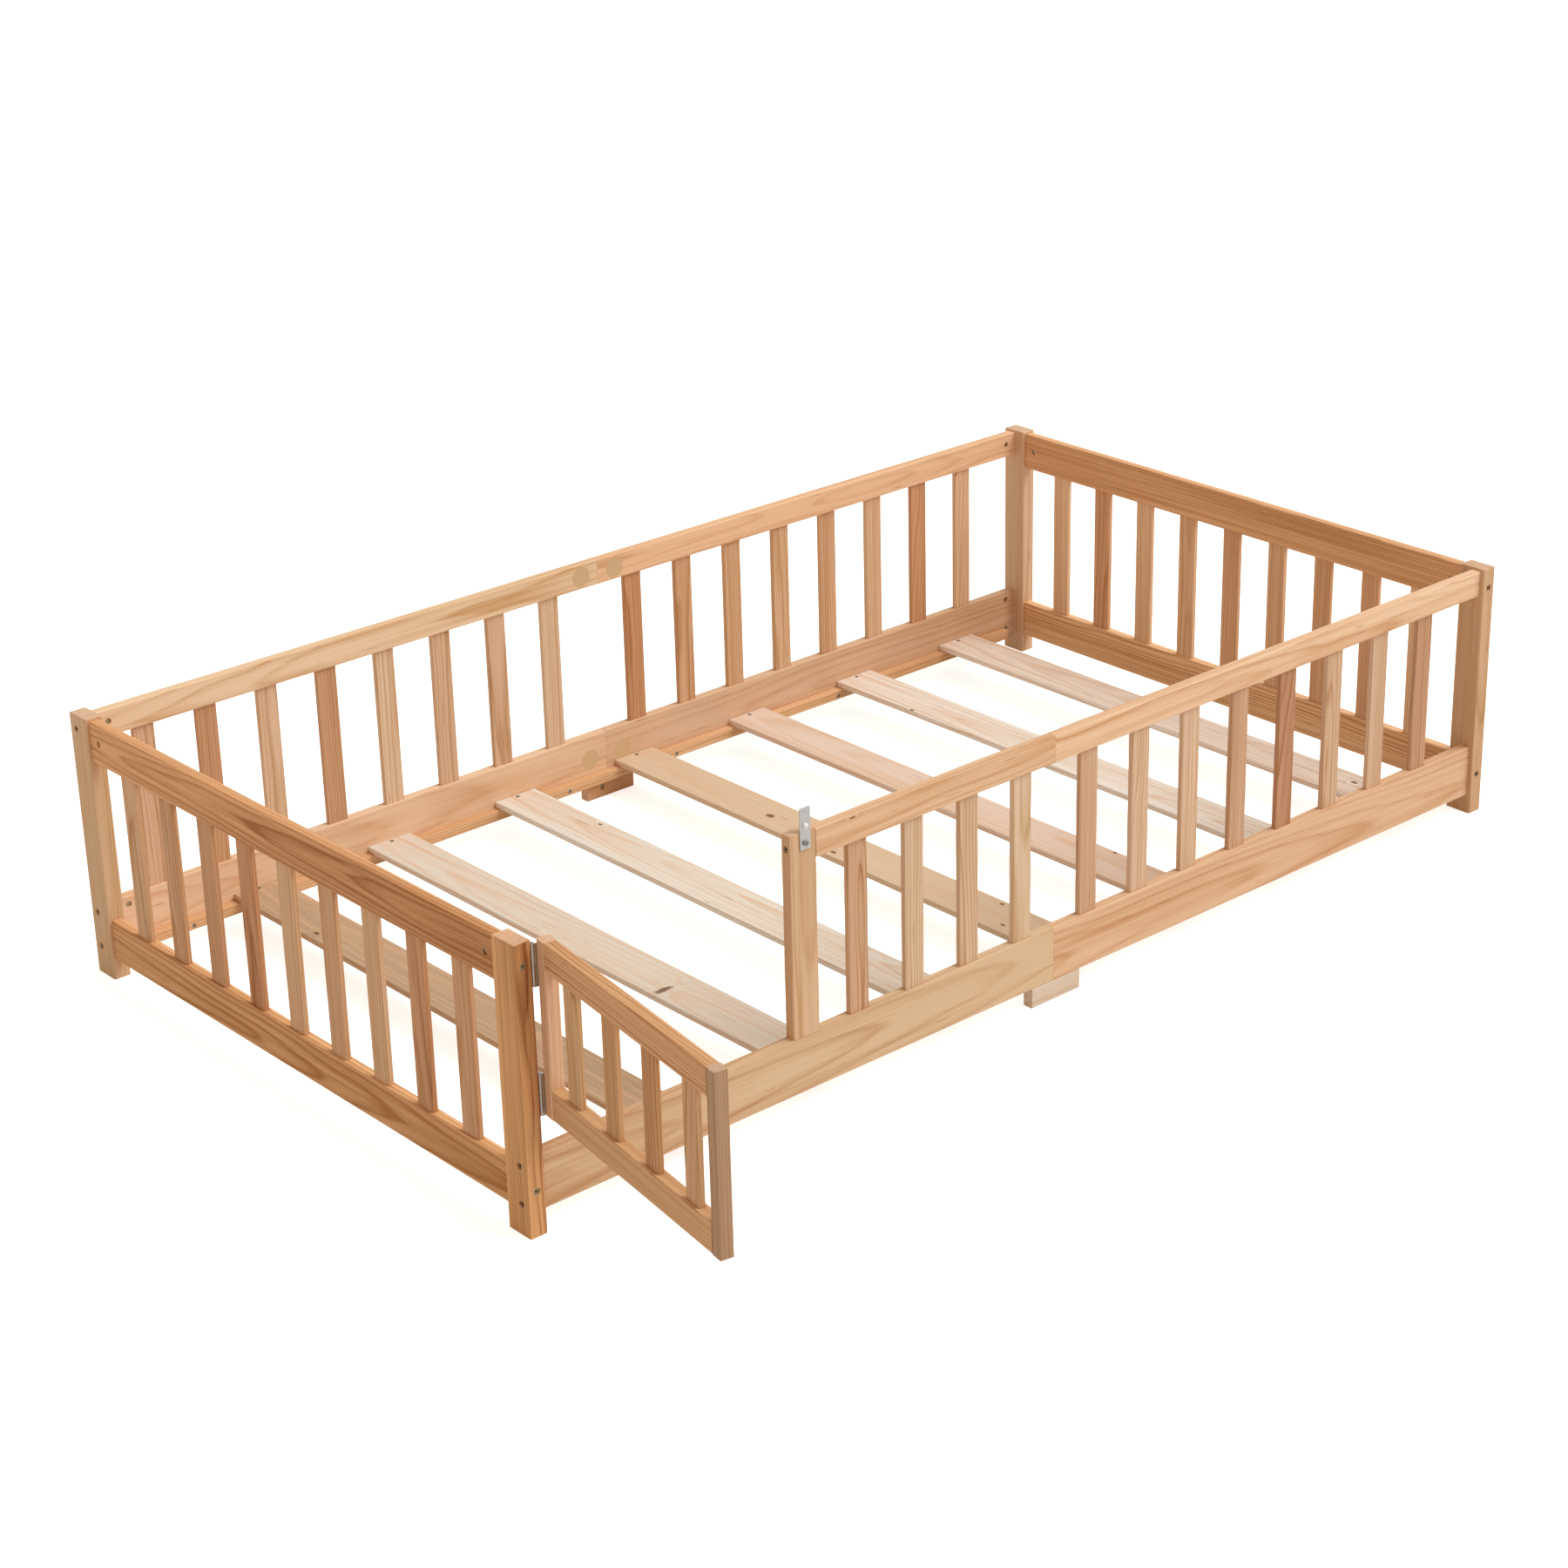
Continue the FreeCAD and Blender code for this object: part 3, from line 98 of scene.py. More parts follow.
def pine_wood():
    """Sawn pine: year rings round a pith line, fibre, a drift of tone, knots and end grain.

    Its coordinates are millimetres on the board: x across its face, y through it, z along it.
    """
    tree = bpy.data.node_groups.new("sawn_pine", "ShaderNodeTree")
    sockets = [("Board", "Vector"), ("Pith", "Vector"), ("Slope", "Vector"), ("Ring", "Float"),
               ("Early", "Color"), ("Late", "Color"), ("Figure", "Float"), ("Swell", "Float"),
               ("Core", "Float"), ("Lean", "Vector"), ("End", "Float")]
    for name, kind in sockets:
        tree.interface.new_socket(name, in_out="INPUT", socket_type="NodeSocket" + kind)
    for name, kind in (("Color", "Color"), ("Roughness", "Float"), ("Normal", "Vector")):
        tree.interface.new_socket(name, in_out="OUTPUT", socket_type="NodeSocket" + kind)
    given = add(tree, "NodeGroupInput")
    apart = add(tree, "ShaderNodeVectorMath", {0: (given, "Pith"), 1: APART, 2: (given, "Board")},
                operation="MULTIPLY_ADD")

    def noise(across, along, detail):
        shrunk = (1 / across, 1 / across, 1 / along)
        stretched = add(tree, "ShaderNodeVectorMath", {0: apart, 1: shrunk}, operation="MULTIPLY")
        return add(tree, "ShaderNodeTexNoise", {"Vector": stretched, "Scale": 1.0, "Detail": detail})

    def blend(share, first, second):
        return add(tree, "ShaderNodeMix", {0: share, 6: first, 7: second}, data_type="RGBA")

    # The pith line slopes, and wanders by some millimetres: slowly along the board, finely across it.
    place = add(tree, "ShaderNodeVectorMath", {0: (given, "Board"), 1: (given, "Pith")},
                operation="SUBTRACT")
    along = add(tree, "ShaderNodeSeparateXYZ", {0: (given, "Board")})
    sloped = add(tree, "ShaderNodeVectorMath", {0: (given, "Slope"), 3: (along, "Z")}, operation="SCALE")
    place = add(tree, "ShaderNodeVectorMath", {0: place, 1: sloped}, operation="ADD")
    for uneven, swing in ((BOW, BOW_SWING), (WAVE, WAVE_SWING), (CURL, CURL_SWING)):
        centred = add(tree, "ShaderNodeVectorMath", {0: (noise(*uneven), "Color"), 1: (0.5, 0.5, 0.5)},
                      operation="SUBTRACT")
        place = add(tree, "ShaderNodeVectorMath", {0: centred, 1: (swing, swing, 0.0), 2: place},
                    operation="MULTIPLY_ADD")
    flat = add(tree, "ShaderNodeVectorMath", {0: place, 1: (1.0, 1.0, 0.0)}, operation="MULTIPLY")
    radius = add(tree, "ShaderNodeVectorMath", {0: flat}, operation="LENGTH")
    swollen = add(tree, "ShaderNodeMath", {0: (radius, "Value"), 1: (given, "Swell")}, operation="ADD")
    rings = add(tree, "ShaderNodeMath", {0: swollen, 1: (given, "Ring")}, operation="DIVIDE")
    year = add(tree, "ShaderNodeMath", {0: rings}, operation="FLOOR")
    season = add(tree, "ShaderNodeMath", {0: rings}, operation="FRACT")
    late = add(tree, "ShaderNodeValToRGB", {0: season})
    ramp(late, YEAR)
    weather = add(tree, "ShaderNodeTexWhiteNoise", {"W": year}, noise_dimensions="1D")
    strength = add(tree, "ShaderNodeMapRange", {0: (weather, "Value"), 3: POOR_YEAR, 4: 1.0})

    # The share of latewood colour: the rings, then fibre, streaks and drift, then the ground tone.
    amount = add(tree, "ShaderNodeMath", {0: (late, "Color"), 1: strength}, operation="MULTIPLY")
    amount = add(tree, "ShaderNodeMath", {0: amount, 1: (given, "Figure")}, operation="MULTIPLY")
    fibre, streak, drift = noise(*FIBRE), noise(*STREAK), noise(*DRIFT)
    for source, swing in ((fibre, FIBRE_SWING), (streak, STREAK_SWING), (drift, DRIFT_SWING)):
        centred = add(tree, "ShaderNodeMath", {0: (source, "Fac"), 1: 0.5}, operation="SUBTRACT")
        amount = add(tree, "ShaderNodeMath", {0: centred, 1: swing, 2: amount}, operation="MULTIPLY_ADD")
    # Some boards darken towards one end or one side; on some of them this is painted shade.
    leaning = add(tree, "ShaderNodeVectorMath", {0: (given, "Board"), 1: (given, "Lean")},
                  operation="DOT_PRODUCT")
    amount = add(tree, "ShaderNodeMath", {0: (leaning, "Value"), 1: amount}, operation="ADD")
    amount = add(tree, "ShaderNodeMath", {0: amount, 1: GROUND_TONE}, operation="ADD", use_clamp=True)
    colour = blend(amount, (given, "Early"), (given, "Late"))
    # Short dark resin flecks lie along the grain.
    fleck = add(tree, "ShaderNodeMapRange",
                {0: (noise(*FLECK), "Fac"), 1: RESIN_FROM, 2: RESIN_TO, 4: RESIN_SHARE})
    colour = blend(fleck, (colour, 2), linear(RESIN))
    cut = add(tree, "ShaderNodeMath", {0: (given, "End"), 1: END_GRAIN_SHARE}, operation="MULTIPLY")
    colour = blend(cut, (colour, 2), linear(END_GRAIN))
    colour = blend((given, "Core"), (colour, 2), linear(KNOT))
    # Both the fibre and the harder latewood stand out a little.
    rough = add(tree, "ShaderNodeMapRange", {0: (fibre, "Fac"), 3: ROUGH_LEAST, 4: ROUGH_MOST})
    height = add(tree, "ShaderNodeMath", {0: (fibre, "Fac"), 1: amount}, operation="ADD")
    bump = add(tree, "ShaderNodeBump", {"Height": height, "Strength": RELIEF_SHARE, "Distance": RELIEF})
    add(tree, "NodeGroupOutput", {"Color": (colour, 2), "Roughness": rough, "Normal": bump})
    return tree


SAWN_PINE = pine_wood()


def wear(node, material):
    """Put a material on a CAD node, in every slot."""
    mesh = bpy.data.objects[node].data
    mesh.materials.clear()
    mesh.materials.append(material)


def lacquered_pine(node):
    """Give a CAD node its own satin-lacquered material, and return the tree.

    The thin lacquer gives the pine a low, even sheen, with the grain clear below it.
    """
    material = bpy.data.materials.new("lacquered_pine_" + node)
    material.use_nodes = True
    shader = material.node_tree.nodes["Principled BSDF"]
    shader.inputs["IOR"].default_value = LACQUER_IOR
    shader.inputs["Specular IOR Level"].default_value = LACQUER_SPECULAR
    wear(node, material)
    return material.node_tree


def lay_wood(tree, inputs):
    """Lay the sawn pine, cut as the inputs say, under a material's lacquer."""
    wood = add(tree, "ShaderNodeGroup", inputs, node_tree=SAWN_PINE)
    shader = tree.nodes["Principled BSDF"]
    for socket, output in (("Base Color", "Color"), ("Roughness", "Roughness"), ("Normal", "Normal")):
        tree.links.new(wood.outputs[output], shader.inputs[socket])


def on_board(tree, across, through, centre):
    """The board's own millimetres, and how squarely a face cuts across its grain."""
    along = Vector(across).cross(Vector(through))
    turn = Matrix((across, through, along))
    shift = -(turn @ Vector(centre)) * MM
    coordinates = add(tree, "ShaderNodeTexCoord")
    board = add(tree, "ShaderNodeMapping", {"Vector": (coordinates, "Object"), "Location": shift,
                                            "Rotation": turn.to_euler(), "Scale": (MM, MM, MM)})
    facing = add(tree, "ShaderNodeVectorMath", {0: (coordinates, "Normal"), 1: along},
                 operation="DOT_PRODUCT")
    square = add(tree, "ShaderNodeMath", {0: (facing, "Value")}, operation="ABSOLUTE")
    end = add(tree, "ShaderNodeMapRange", {0: square, 1: END_GRAIN_FROM, 2: END_GRAIN_TO})
    return board, end


def knot_in(tree, board, place, radii):
    """How far a knot bends the rings round it, and how much of its dark core shows."""
    apart = add(tree, "ShaderNodeVectorMath", {0: board, 1: place}, operation="SUBTRACT")
    apart = add(tree, "ShaderNodeVectorMath", {0: apart, 1: [1 / radius for radius in radii]},
                operation="MULTIPLY")
    frayed = add(tree, "ShaderNodeTexNoise", {"Vector": apart, "Scale": KNOT_FRAY, "Detail": 2.0})
    far = add(tree, "ShaderNodeVectorMath", {0: apart}, operation="LENGTH")
    edge = add(tree, "ShaderNodeMath", {0: (far, "Value"), 1: (frayed, "Fac")}, operation="ADD")
    swell = add(tree, "ShaderNodeMapRange",
                {0: (far, "Value"), 1: SWELL_FROM, 2: SWELL_TO, 4: SWELL * min(radii)},
                interpolation_type="SMOOTHSTEP")
    core = add(tree, "ShaderNodeMapRange", {0: edge, 1: CORE_FROM, 2: CORE_TO, 4: CORE_SHARE})
    return swell, core


def board_of(node, across, through, pith, early, late, ring, figure=0.75, slope=(0.0, 0.0, 0.0),
             lean=(0.0, 0.0, 0.0), knots=()):
    """Give a CAD board its own piece of pine. Each knot is (place on the board, radii), in mm."""
    low, high = (Vector(corner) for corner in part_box(node))
    tree = lacquered_pine(node)
    board, end = on_board(tree, across, through, (low + high) / 2)
    inputs = {"Board": board, "Pith": pith, "Slope": slope, "Ring": ring, "Early": linear(early),
              "Late": linear(late), "Figure": figure, "Lean": lean, "End": end}
    for place, radii in knots:
        swell, core = knot_in(tree, board, place, radii)
        if "Swell" in inputs:
            swell = add(tree, "ShaderNodeMath", {0: swell, 1: inputs["Swell"]}, operation="ADD")
            core = add(tree, "ShaderNodeMath", {0: core, 1: inputs["Core"]}, operation="MAXIMUM")
        inputs["Swell"], inputs["Core"] = swell, core
    lay_wood(tree, inputs)


X, Y, Z = (1.0, 0.0, 0.0), (0.0, 1.0, 0.0), (0.0, 0.0, 1.0)

# The near post's dark latewood, and its Lean that darkens its front face, are partly its own wood and
# partly painted shade of the open gate beside it.
board_of("post_foot_front", X, Y, (-20, 95, 0), early="#E8B27C", late="#92582E", ring=3.4, figure=0.9,
         lean=(0.006, -0.009, 0.0))
board_of("post_foot_back", X, Y, (-14, -40, 0), early="#DBB792", late="#C49563", ring=4.2)
board_of("post_head_front", X, Y, (6, 70, 0), early="#D4AC86", late="#B38352", ring=3.6)
board_of("post_head_back", X, Y, (-25, 52, 0), early="#E0BD9B", late="#C29266", ring=4.0)

# ---------------------------------------------------------------- end rails
# A wide top rail and a lower rail of 18 mm pine between the posts at the foot and at the head, grooved
# for their balusters. They are quarter sawn, so fine straight lines run along them. Through its
# thickness each one darkens towards the foot end: painted shade on the faces turned towards the foot
# end.

# Painted shade: how much darker a rail grows for each mm towards the foot end.
PAINTED_SHADE_TOWARD_FOOT = -0.025

board_of("foot_top_rail", Z, X, (6, -46, 0), early="#E6AE7D", late="#A56B3A", ring=5.5, figure=0.8,
         slope=(0.012, 0.02, 0.0), lean=(0.0, PAINTED_SHADE_TOWARD_FOOT, -0.0005))
board_of("foot_lower_rail", Z, X, (-12, 44, 0), early="#F3BF8E", late="#B57B47", ring=6.0, figure=0.9,
         slope=(0.01, 0.02, 0.0), lean=(0.0, PAINTED_SHADE_TOWARD_FOOT, 0.0))
board_of("head_top_rail", Z, X, (52, -30, 0), early="#F9C596", late="#B67D4D", ring=3.0, figure=0.95,
         lean=(0.0, PAINTED_SHADE_TOWARD_FOOT, 0.0))
board_of("head_lower_rail", Z, X, (44, 40, 0), early="#FED0A3", late="#C18956", ring=3.8, figure=0.85,
         lean=(0.0, PAINTED_SHADE_TOWARD_FOOT, 0.0))

# ---------------------------------------------------------------- side rails
# Each long side comes in two halves, screwed together in the middle: a narrow top rail and a deep lower
# rail of 18 mm pine. They are flat sawn, so wide soft flames of grain show on their faces.

board_of("back_lower_rail_foot_half", Z, Y, (10, 62, 0), early="#EECCAB", late="#D7A276", ring=9.0,
         figure=0.6, slope=(0.01, 0.03, 0.0))
board_of("back_lower_rail_head_half", Z, Y, (-12, -55, 0), early="#E1BC9B", late="#C79669", ring=7.5,
         figure=0.6, slope=(-0.02, 0.02, 0.0), lean=(0.0, 0.0, -0.0003))
board_of("back_top_rail_foot_half", Z, Y, (-6, 48, 0), early="#F3D5B3", late="#D0A16E", ring=6.0,
         slope=(0.01, -0.02, 0.0))
board_of("back_top_rail_head_half", Z, Y, (14, 50, 0), early="#F4C9A3", late="#CF9666", ring=5.0,
         slope=(-0.01, 0.012, 0.0))
# Its Lean darkens it towards the foot end: painted shade of the open gate.
board_of("front_lower_rail_foot_half", Z, Y, (4, 58, 0), early="#DBBB96", late="#BE8F66", ring=10.0,
         figure=0.7, slope=(0.015, 0.035, 0.0), lean=(0.0, 0.0, 0.0007))
board_of("front_lower_rail_head_half", Z, Y, (-15, 64, 0), early="#E4BD99", late="#C58E60", ring=7.0,
         figure=0.7, slope=(-0.01, 0.025, 0.0))
board_of("front_top_rail_foot_half", Z, Y, (9, 40, 0), early="#E9C39F", late="#C69160", ring=5.0,
         slope=(0.004, 0.012, 0.0), lean=(0.0, 0.0, -0.0004), knots=[((17, -9, 165), (1.6, 4, 6))])
board_of("front_top_rail_head_half", Z, Y, (-8, 52, 0), early="#F1CDAA", late="#CF9869", ring=4.6,
         slope=(-0.006, 0.01, 0.0))

# ---------------------------------------------------------------- balusters
# Thin pine slats, 37 x 9 mm, glued into the grooves of the rails. Each is cut from another board, so
# they differ in tone from yellow to red and in the way that the rings cross them.

BALUSTER_WIDTH = 37.0
BALUSTER_RING = 4.0
BALUSTER_FIGURE = 0.9

# Where a baluster's pith line may lie, in mm, and how it may slope: the least, and the range above it.
PITH_DRAW = ((-60.0, 8.0, 0.0), (120.0, 70.0, 40.0))
SLOPE_DRAW = ((-0.02, -0.025, 0.0), (0.04, 0.05, 0.0))


def balusters_of(node, across, through, pitch, seed, early, late, tones):
    """Give a row of balusters their pine: each its own, from pale to red by its tone."""
    low, high = (Vector(corner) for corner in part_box(node))
    tree = lacquered_pine(node)
    row, end = on_board(tree, across, through, (low + high) / 2)
    count = len(tones)
    part = add(tree, "ShaderNodeSeparateXYZ", {0: row})
    turns = add(tree, "ShaderNodeMath", {0: (part, "X"), 1: 1 / pitch, 2: count / 2},
                operation="MULTIPLY_ADD")
    index = add(tree, "ShaderNodeMath", {0: turns}, operation="FLOOR")
    seeded = add(tree, "ShaderNodeMath", {0: index, 1: seed}, operation="ADD")
    random = add(tree, "ShaderNodeTexWhiteNoise", {"W": seeded}, noise_dimensions="1D")
    share = add(tree, "ShaderNodeMath", {0: turns}, operation="FRACT")
    centred = add(tree, "ShaderNodeMath", {0: share, 1: pitch, 2: -pitch / 2}, operation="MULTIPLY_ADD")
    board = add(tree, "ShaderNodeCombineXYZ", {"X": centred, "Y": (part, "Y"), "Z": (part, "Z")})
    pith, slope = (add(tree, "ShaderNodeVectorMath", {0: (random, "Color"), 1: spread, 2: least},
                       operation="MULTIPLY_ADD") for least, spread in (PITH_DRAW, SLOPE_DRAW))
    chosen = add(tree, "ShaderNodeMath", {0: turns, 1: 1 / count}, operation="MULTIPLY")
    tone = add(tree, "ShaderNodeValToRGB", {0: chosen})
    tone.color_ramp.interpolation = "CONSTANT"
    ramp(tone, [(number / count, grey) for number, grey in enumerate(tones)])
    toned = [add(tree, "ShaderNodeMix", {0: tone, 6: linear(pale), 7: linear(red)}, data_type="RGBA")
             for pale, red in (early, late)]
    lay_wood(tree, {"Board": board, "Pith": pith, "Slope": slope, "Early": (toned[0], 2),
                    "Late": (toned[1], 2), "Ring": BALUSTER_RING, "Figure": BALUSTER_FIGURE, "End": end})


# Each row: a seed, its pale and red earlywood, its pale and red latewood, and each baluster's tone.
ROWS = {
    "front_balusters_foot_half": (45, ("#E5CCAF", "#D1A581"), ("#C39B69", "#A9764E"),
                                  (0.85, 0.35, 0.45, 0.2)),
    "front_balusters_head_half": (63, ("#E1C1A3", "#CC9B7A"), ("#BF9063", "#A46F49"),
                                  (0.4, 0.15, 0.0, 0.6, 1.0, 0.2, 0.15, 0.75)),
    "back_balusters_foot_half": (3, ("#E9CBAD", "#D4A580"), ("#C79968", "#AC764D"),
                                 (0.5, 1.0, 0.25, 0.85, 0.0, 0.45, 0.5, 0.15)),
    "back_balusters_head_half": (21, ("#EAC7A4", "#D5A078"), ("#C79562", "#AA7248"),
                                 (1.0, 0.6, 0.45, 0.3, 0.5, 0.2, 1.0, 0.15)),
    "foot_balusters": (87, ("#DFB893", "#CB946C"), ("#BD8A58", "#A36A40"),
                       (0.4, 0.85, 0.0, 0.4, 0.15, 1.0, 0.65, 0.5, 0.25)),
    "head_balusters": (110, ("#F6D4B0", "#DFAC84"), ("#D0A06B", "#B37B4F"),
                       (0.2, 0.8, 0.75, 0.6, 0.8, 0.5, 0.3, 1.0, 0.3)),
}
for node, (seed, early, late, tones) in ROWS.items():
    row_low, row_high = (Vector(corner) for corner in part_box(node))
    at_an_end = node in ("foot_balusters", "head_balusters")
    length = (row_high - row_low)[1 if at_an_end else 0] * MM
    pitch = (length - BALUSTER_WIDTH) / (len(tones) - 1)
    across, through = (Y, X) if at_an_end else (X, Y)
    balusters_of(node, across, through, pitch, seed, early, late, tones)

# ---------------------------------------------------------------- gate post
# The pine post that the gate shuts against. It stands on the front lower rail, held by two turned beech
# dowels that are hidden in the wood.

board_of("gate_post", X, Y, (10, 60, 0), early="#DBB794", late="#BA8D5D", ring=4.6, figure=0.6)
board_of("gate_post_dowels", X, Y, (20, 20, 0), early="#E4C39A", late="#C9A274", ring=2.5)

# ---------------------------------------------------------------- ledgers
# Square pine strips, screwed along the inside of the lower rails in two halves each. The slats rest on
# them and are screwed down.

LEDGERS = ("front_foot_half", "front_head_half", "back_foot_half", "back_head_half")
for number, half in enumerate(LEDGERS):
    board_of("ledger_" + half, Y, Z, (12 + 9 * number, 40, 0), early="#E6B98D", late="#C58D5A", ring=4.0)

# ---------------------------------------------------------------- slats
# Seven planed and thinly lacquered pine slats, 83 x 10 mm, screwed down on the ledgers. They are paler
# than the rails, flat sawn with wide rings, and have knots here and there.

MINUS_X = (-1.0, 0.0, 0.0)
SLAT_KNOTS = {1: [((26, 5, 315), (4, 4, 6))],
              2: [((20, 5, -204), (17, 8, 6))],
              3: [((-28, 5, 330), (3, 3, 5))],
              4: [((6, 5, 160), (6, 6, 9)), ((28, 5, -19), (4, 4, 6)), ((-30, 5, -344), (3, 3, 5)),
                  ((21, 5, -397), (3, 3, 5))],
              5: [((-36, 5, -335), (3, 3, 5))],
              6: [((38, 5, 330), (3, 3, 5))],
              7: [((30, 5, 60), (3, 3, 5)), ((-10, 5, -420), (4, 4, 7))]}
SLAT_TONES = {1: "#B69A7C", 2: "#E2D8CB", 3: "#EAE4D9", 4: "#DDC5A8", 5: "#E8D2C2", 6: "#F1EAE1",
              7: "#FBEFE4"}
SLAT_LATE = "#DDB590"
# The pith lies to the left and to the right of the middle by turns.
for number, tone in SLAT_TONES.items():
    side = (-1) ** number
    board_of("slat_%d" % number, MINUS_X, Z, (12 * side, -26 - 6 * (number % 3), 0), early=tone,
             late=SLAT_LATE, ring=7.0 + number % 3, figure=0.6, slope=(0.01 * side, 0.03, 0.0),
             knots=SLAT_KNOTS[number])

# ---------------------------------------------------------------- small middle feet
# Two blocks of pine under the joints of the long sides, which keep the middle of the bed off the floor.
# Each is held by a stud from below.

board_of("mid_foot_front", Y, Z, (8, 40, 0), early="#E5D6C5", late="#BD9874", ring=3.6)
board_of("mid_foot_back", Y, Z, (-8, 40, 0), early="#E2B185", late="#B67C4A", ring=3.6)

# ---------------------------------------------------------------- gate
# A light frame of 20 mm pine, two stiles and two rails, glued round four thin balusters. It stands open
# beside the foot end, so its boards are turned by the angle of the hinge.

OPEN_ANGLE = math.radians(-99)
GATE_PITCH = 98.0

gate_turn = Matrix.Rotation(OPEN_ANGLE, 3, "Z")
GATE_X, GATE_Y = tuple(gate_turn @ Vector(X)), tuple(gate_turn @ Vector(Y))
board_of("gate_hinge_stile", GATE_X, GATE_Y, (30, 30, 0), early="#EAC19C", late="#BD875F", ring=3.6)
board_of("gate_latch_stile", GATE_X, GATE_Y, (-12, -50, 0), early="#B99677", late="#996945", ring=4.2)
board_of("gate_top_rail", Z, GATE_Y, (-30, 36, 0), early="#DBAA7C", late="#A96E42", ring=3.4, figure=0.9)
board_of("gate_bottom_rail", Z, GATE_Y, (34, -30, 0), early="#D8AA7D", late="#A97245", ring=3.2,
         figure=0.9)
balusters_of("gate_balusters", GATE_X, GATE_Y, GATE_PITCH, seed=131, early=("#DEBA92", "#C99468"),
             late=("#B98850", "#9C6536"), tones=(0.3, 0.7, 0.8, 0.45))

# ---------------------------------------------------------------- hinges
# Two butt hinges of brushed, nickel-plated steel, each with a leaf on the post and one on the gate, a
# steel pin, and four countersunk screws. The brushing runs upright and gives them a soft, streaky gloss.

GLOSS_SWING = 0.08
METAL_DULL, METAL_BRIGHT = 0.85, 1.12


def metal(name, colour, rough, streaks):
    """A plated or brushed metal, with so many streaks a metre each way in its colour and its gloss."""
    material = bpy.data.materials.new(name)
    material.use_nodes = True
    tree = material.node_tree
    shader = tree.nodes["Principled BSDF"]
    shader.inputs["Metallic"].default_value = 1.0
    coordinates = add(tree, "ShaderNodeTexCoord")
    brushed = add(tree, "ShaderNodeMapping", {"Vector": (coordinates, "Object"), "Scale": streaks})
    noise = add(tree, "ShaderNodeTexNoise", {"Vector": brushed, "Scale": 1.0, "Detail": 2.0})
    gloss = add(tree, "ShaderNodeMapRange",
                {0: (noise, "Fac"), 3: rough - GLOSS_SWING, 4: rough + GLOSS_SWING})
    bright = [min(1.0, part * METAL_BRIGHT) for part in linear(colour)]
    dull = [part * METAL_DULL for part in linear(colour)[:3]] + [1.0]
    tint = add(tree, "ShaderNodeMix", {0: (noise, "Fac"), 6: dull, 7: bright}, data_type="RGBA")
    tree.links.new(tint.outputs[2], shader.inputs["Base Color"])
    tree.links.new(gloss.outputs[0], shader.inputs["Roughness"])
    return material


# Brush lines 1.1 mm wide and 17 mm long, coarser than the real ones so that they show.
hinge_steel = metal("nickel_plated_steel", "#B9B4AC", rough=0.34, streaks=(900, 900, 60))
for node in ("hinge_post_leaves", "hinge_gate_leaves", "hinge_pins", "hinge_post_screws",
             "hinge_gate_screws"):
    wear(node, hinge_steel)

# ---------------------------------------------------------------- latch
# A turning plate of satin aluminium, brushed across its width, on a cross-head pivot screw. A small
# domed button of white moulded nylon sits on it, with the soft gloss and faint orange peel of its mould.

PLASTIC_IOR = 1.49

# Orange peel: 1.1 mm across, so 900 in a metre, and what it does to the gloss, the tone and the surface.
PEEL = 900.0
PEEL_SWING = 0.05
PEEL_SHADE = 0.93
PEEL_RELIEF, PEEL_SHARE = 0.0001, 0.1

wear("latch_plate", metal("satin_aluminium", "#C9CACB", rough=0.3, streaks=(60, 900, 900)))


def moulded(name, colour, rough):
    """A moulded plastic: an even colour, with the faint orange peel of the mould in its gloss."""
    material = bpy.data.materials.new(name)
    material.use_nodes = True
    tree = material.node_tree
    shader = tree.nodes["Principled BSDF"]
    shader.inputs["IOR"].default_value = PLASTIC_IOR
    coordinates = add(tree, "ShaderNodeTexCoord")
    peel = add(tree, "ShaderNodeTexNoise",
               {"Vector": (coordinates, "Object"), "Scale": PEEL, "Detail": 1.0})
    shaded = [part * PEEL_SHADE for part in linear(colour)[:3]] + [1.0]
    tint = add(tree, "ShaderNodeMix", {0: (peel, "Fac"), 6: linear(colour), 7: shaded},
               data_type="RGBA")
    gloss = add(tree, "ShaderNodeMapRange",
                {0: (peel, "Fac"), 3: rough - PEEL_SWING, 4: rough + PEEL_SWING})
    bump = add(tree, "ShaderNodeBump",
               {"Height": (peel, "Fac"), "Strength": PEEL_SHARE, "Distance": PEEL_RELIEF})
    tree.links.new(tint.outputs[2], shader.inputs["Base Color"])
    tree.links.new(gloss.outputs[0], shader.inputs["Roughness"])
    tree.links.new(bump.outputs[0], shader.inputs["Normal"])
    return material


wear("latch_button", moulded("white_nylon", "#EDEDEA", rough=0.4))

# ---------------------------------------------------------------- bolts, nuts and screws
# Zinc-plated steel, dull with the cloudy grain of the plating. The socket bolts and barrel nuts at the
# posts are plated yellowish; the joint's bolts and hex nuts, the studs of the middle feet, and the
# cross-head screws of slats, ledgers and latch are grey.

# The plating's grain is drawn 2.5 mm across, coarser than the real one so that it shows.
PLATING_GRAIN = (400, 400, 400)

zinc = metal("zinc_plated_steel", "#9C9A94", rough=0.38, streaks=PLATING_GRAIN)
for node in ("latch_pivot_screw", "connector_bolts", "connector_nuts", "mid_foot_studs", "slat_screws",
             "ledger_screws"):
    wear(node, zinc)
yellow_zinc = metal("yellow_zinc_plated_steel", "#B0A283", rough=0.34, streaks=PLATING_GRAIN)
for node in ("short_bolts", "long_bolts", "barrel_nuts"):
    wear(node, yellow_zinc)

# ---------------------------------------------------------------- recess caps
# Round caps of moulded tan polythene, duller than the button. They are pressed into the recesses of the
# joints in the long sides, where they hide the bolts and nuts.

wear("connector_caps", moulded("tan_polythene", "#D9B68A", rough=0.5))

# ---------------------------------------------------------------- studio
# A white floor that keeps a soft shadow, an even white room, and one broad soft light from above the
# head end's front corner, so that the faces towards the foot end are the dark ones.

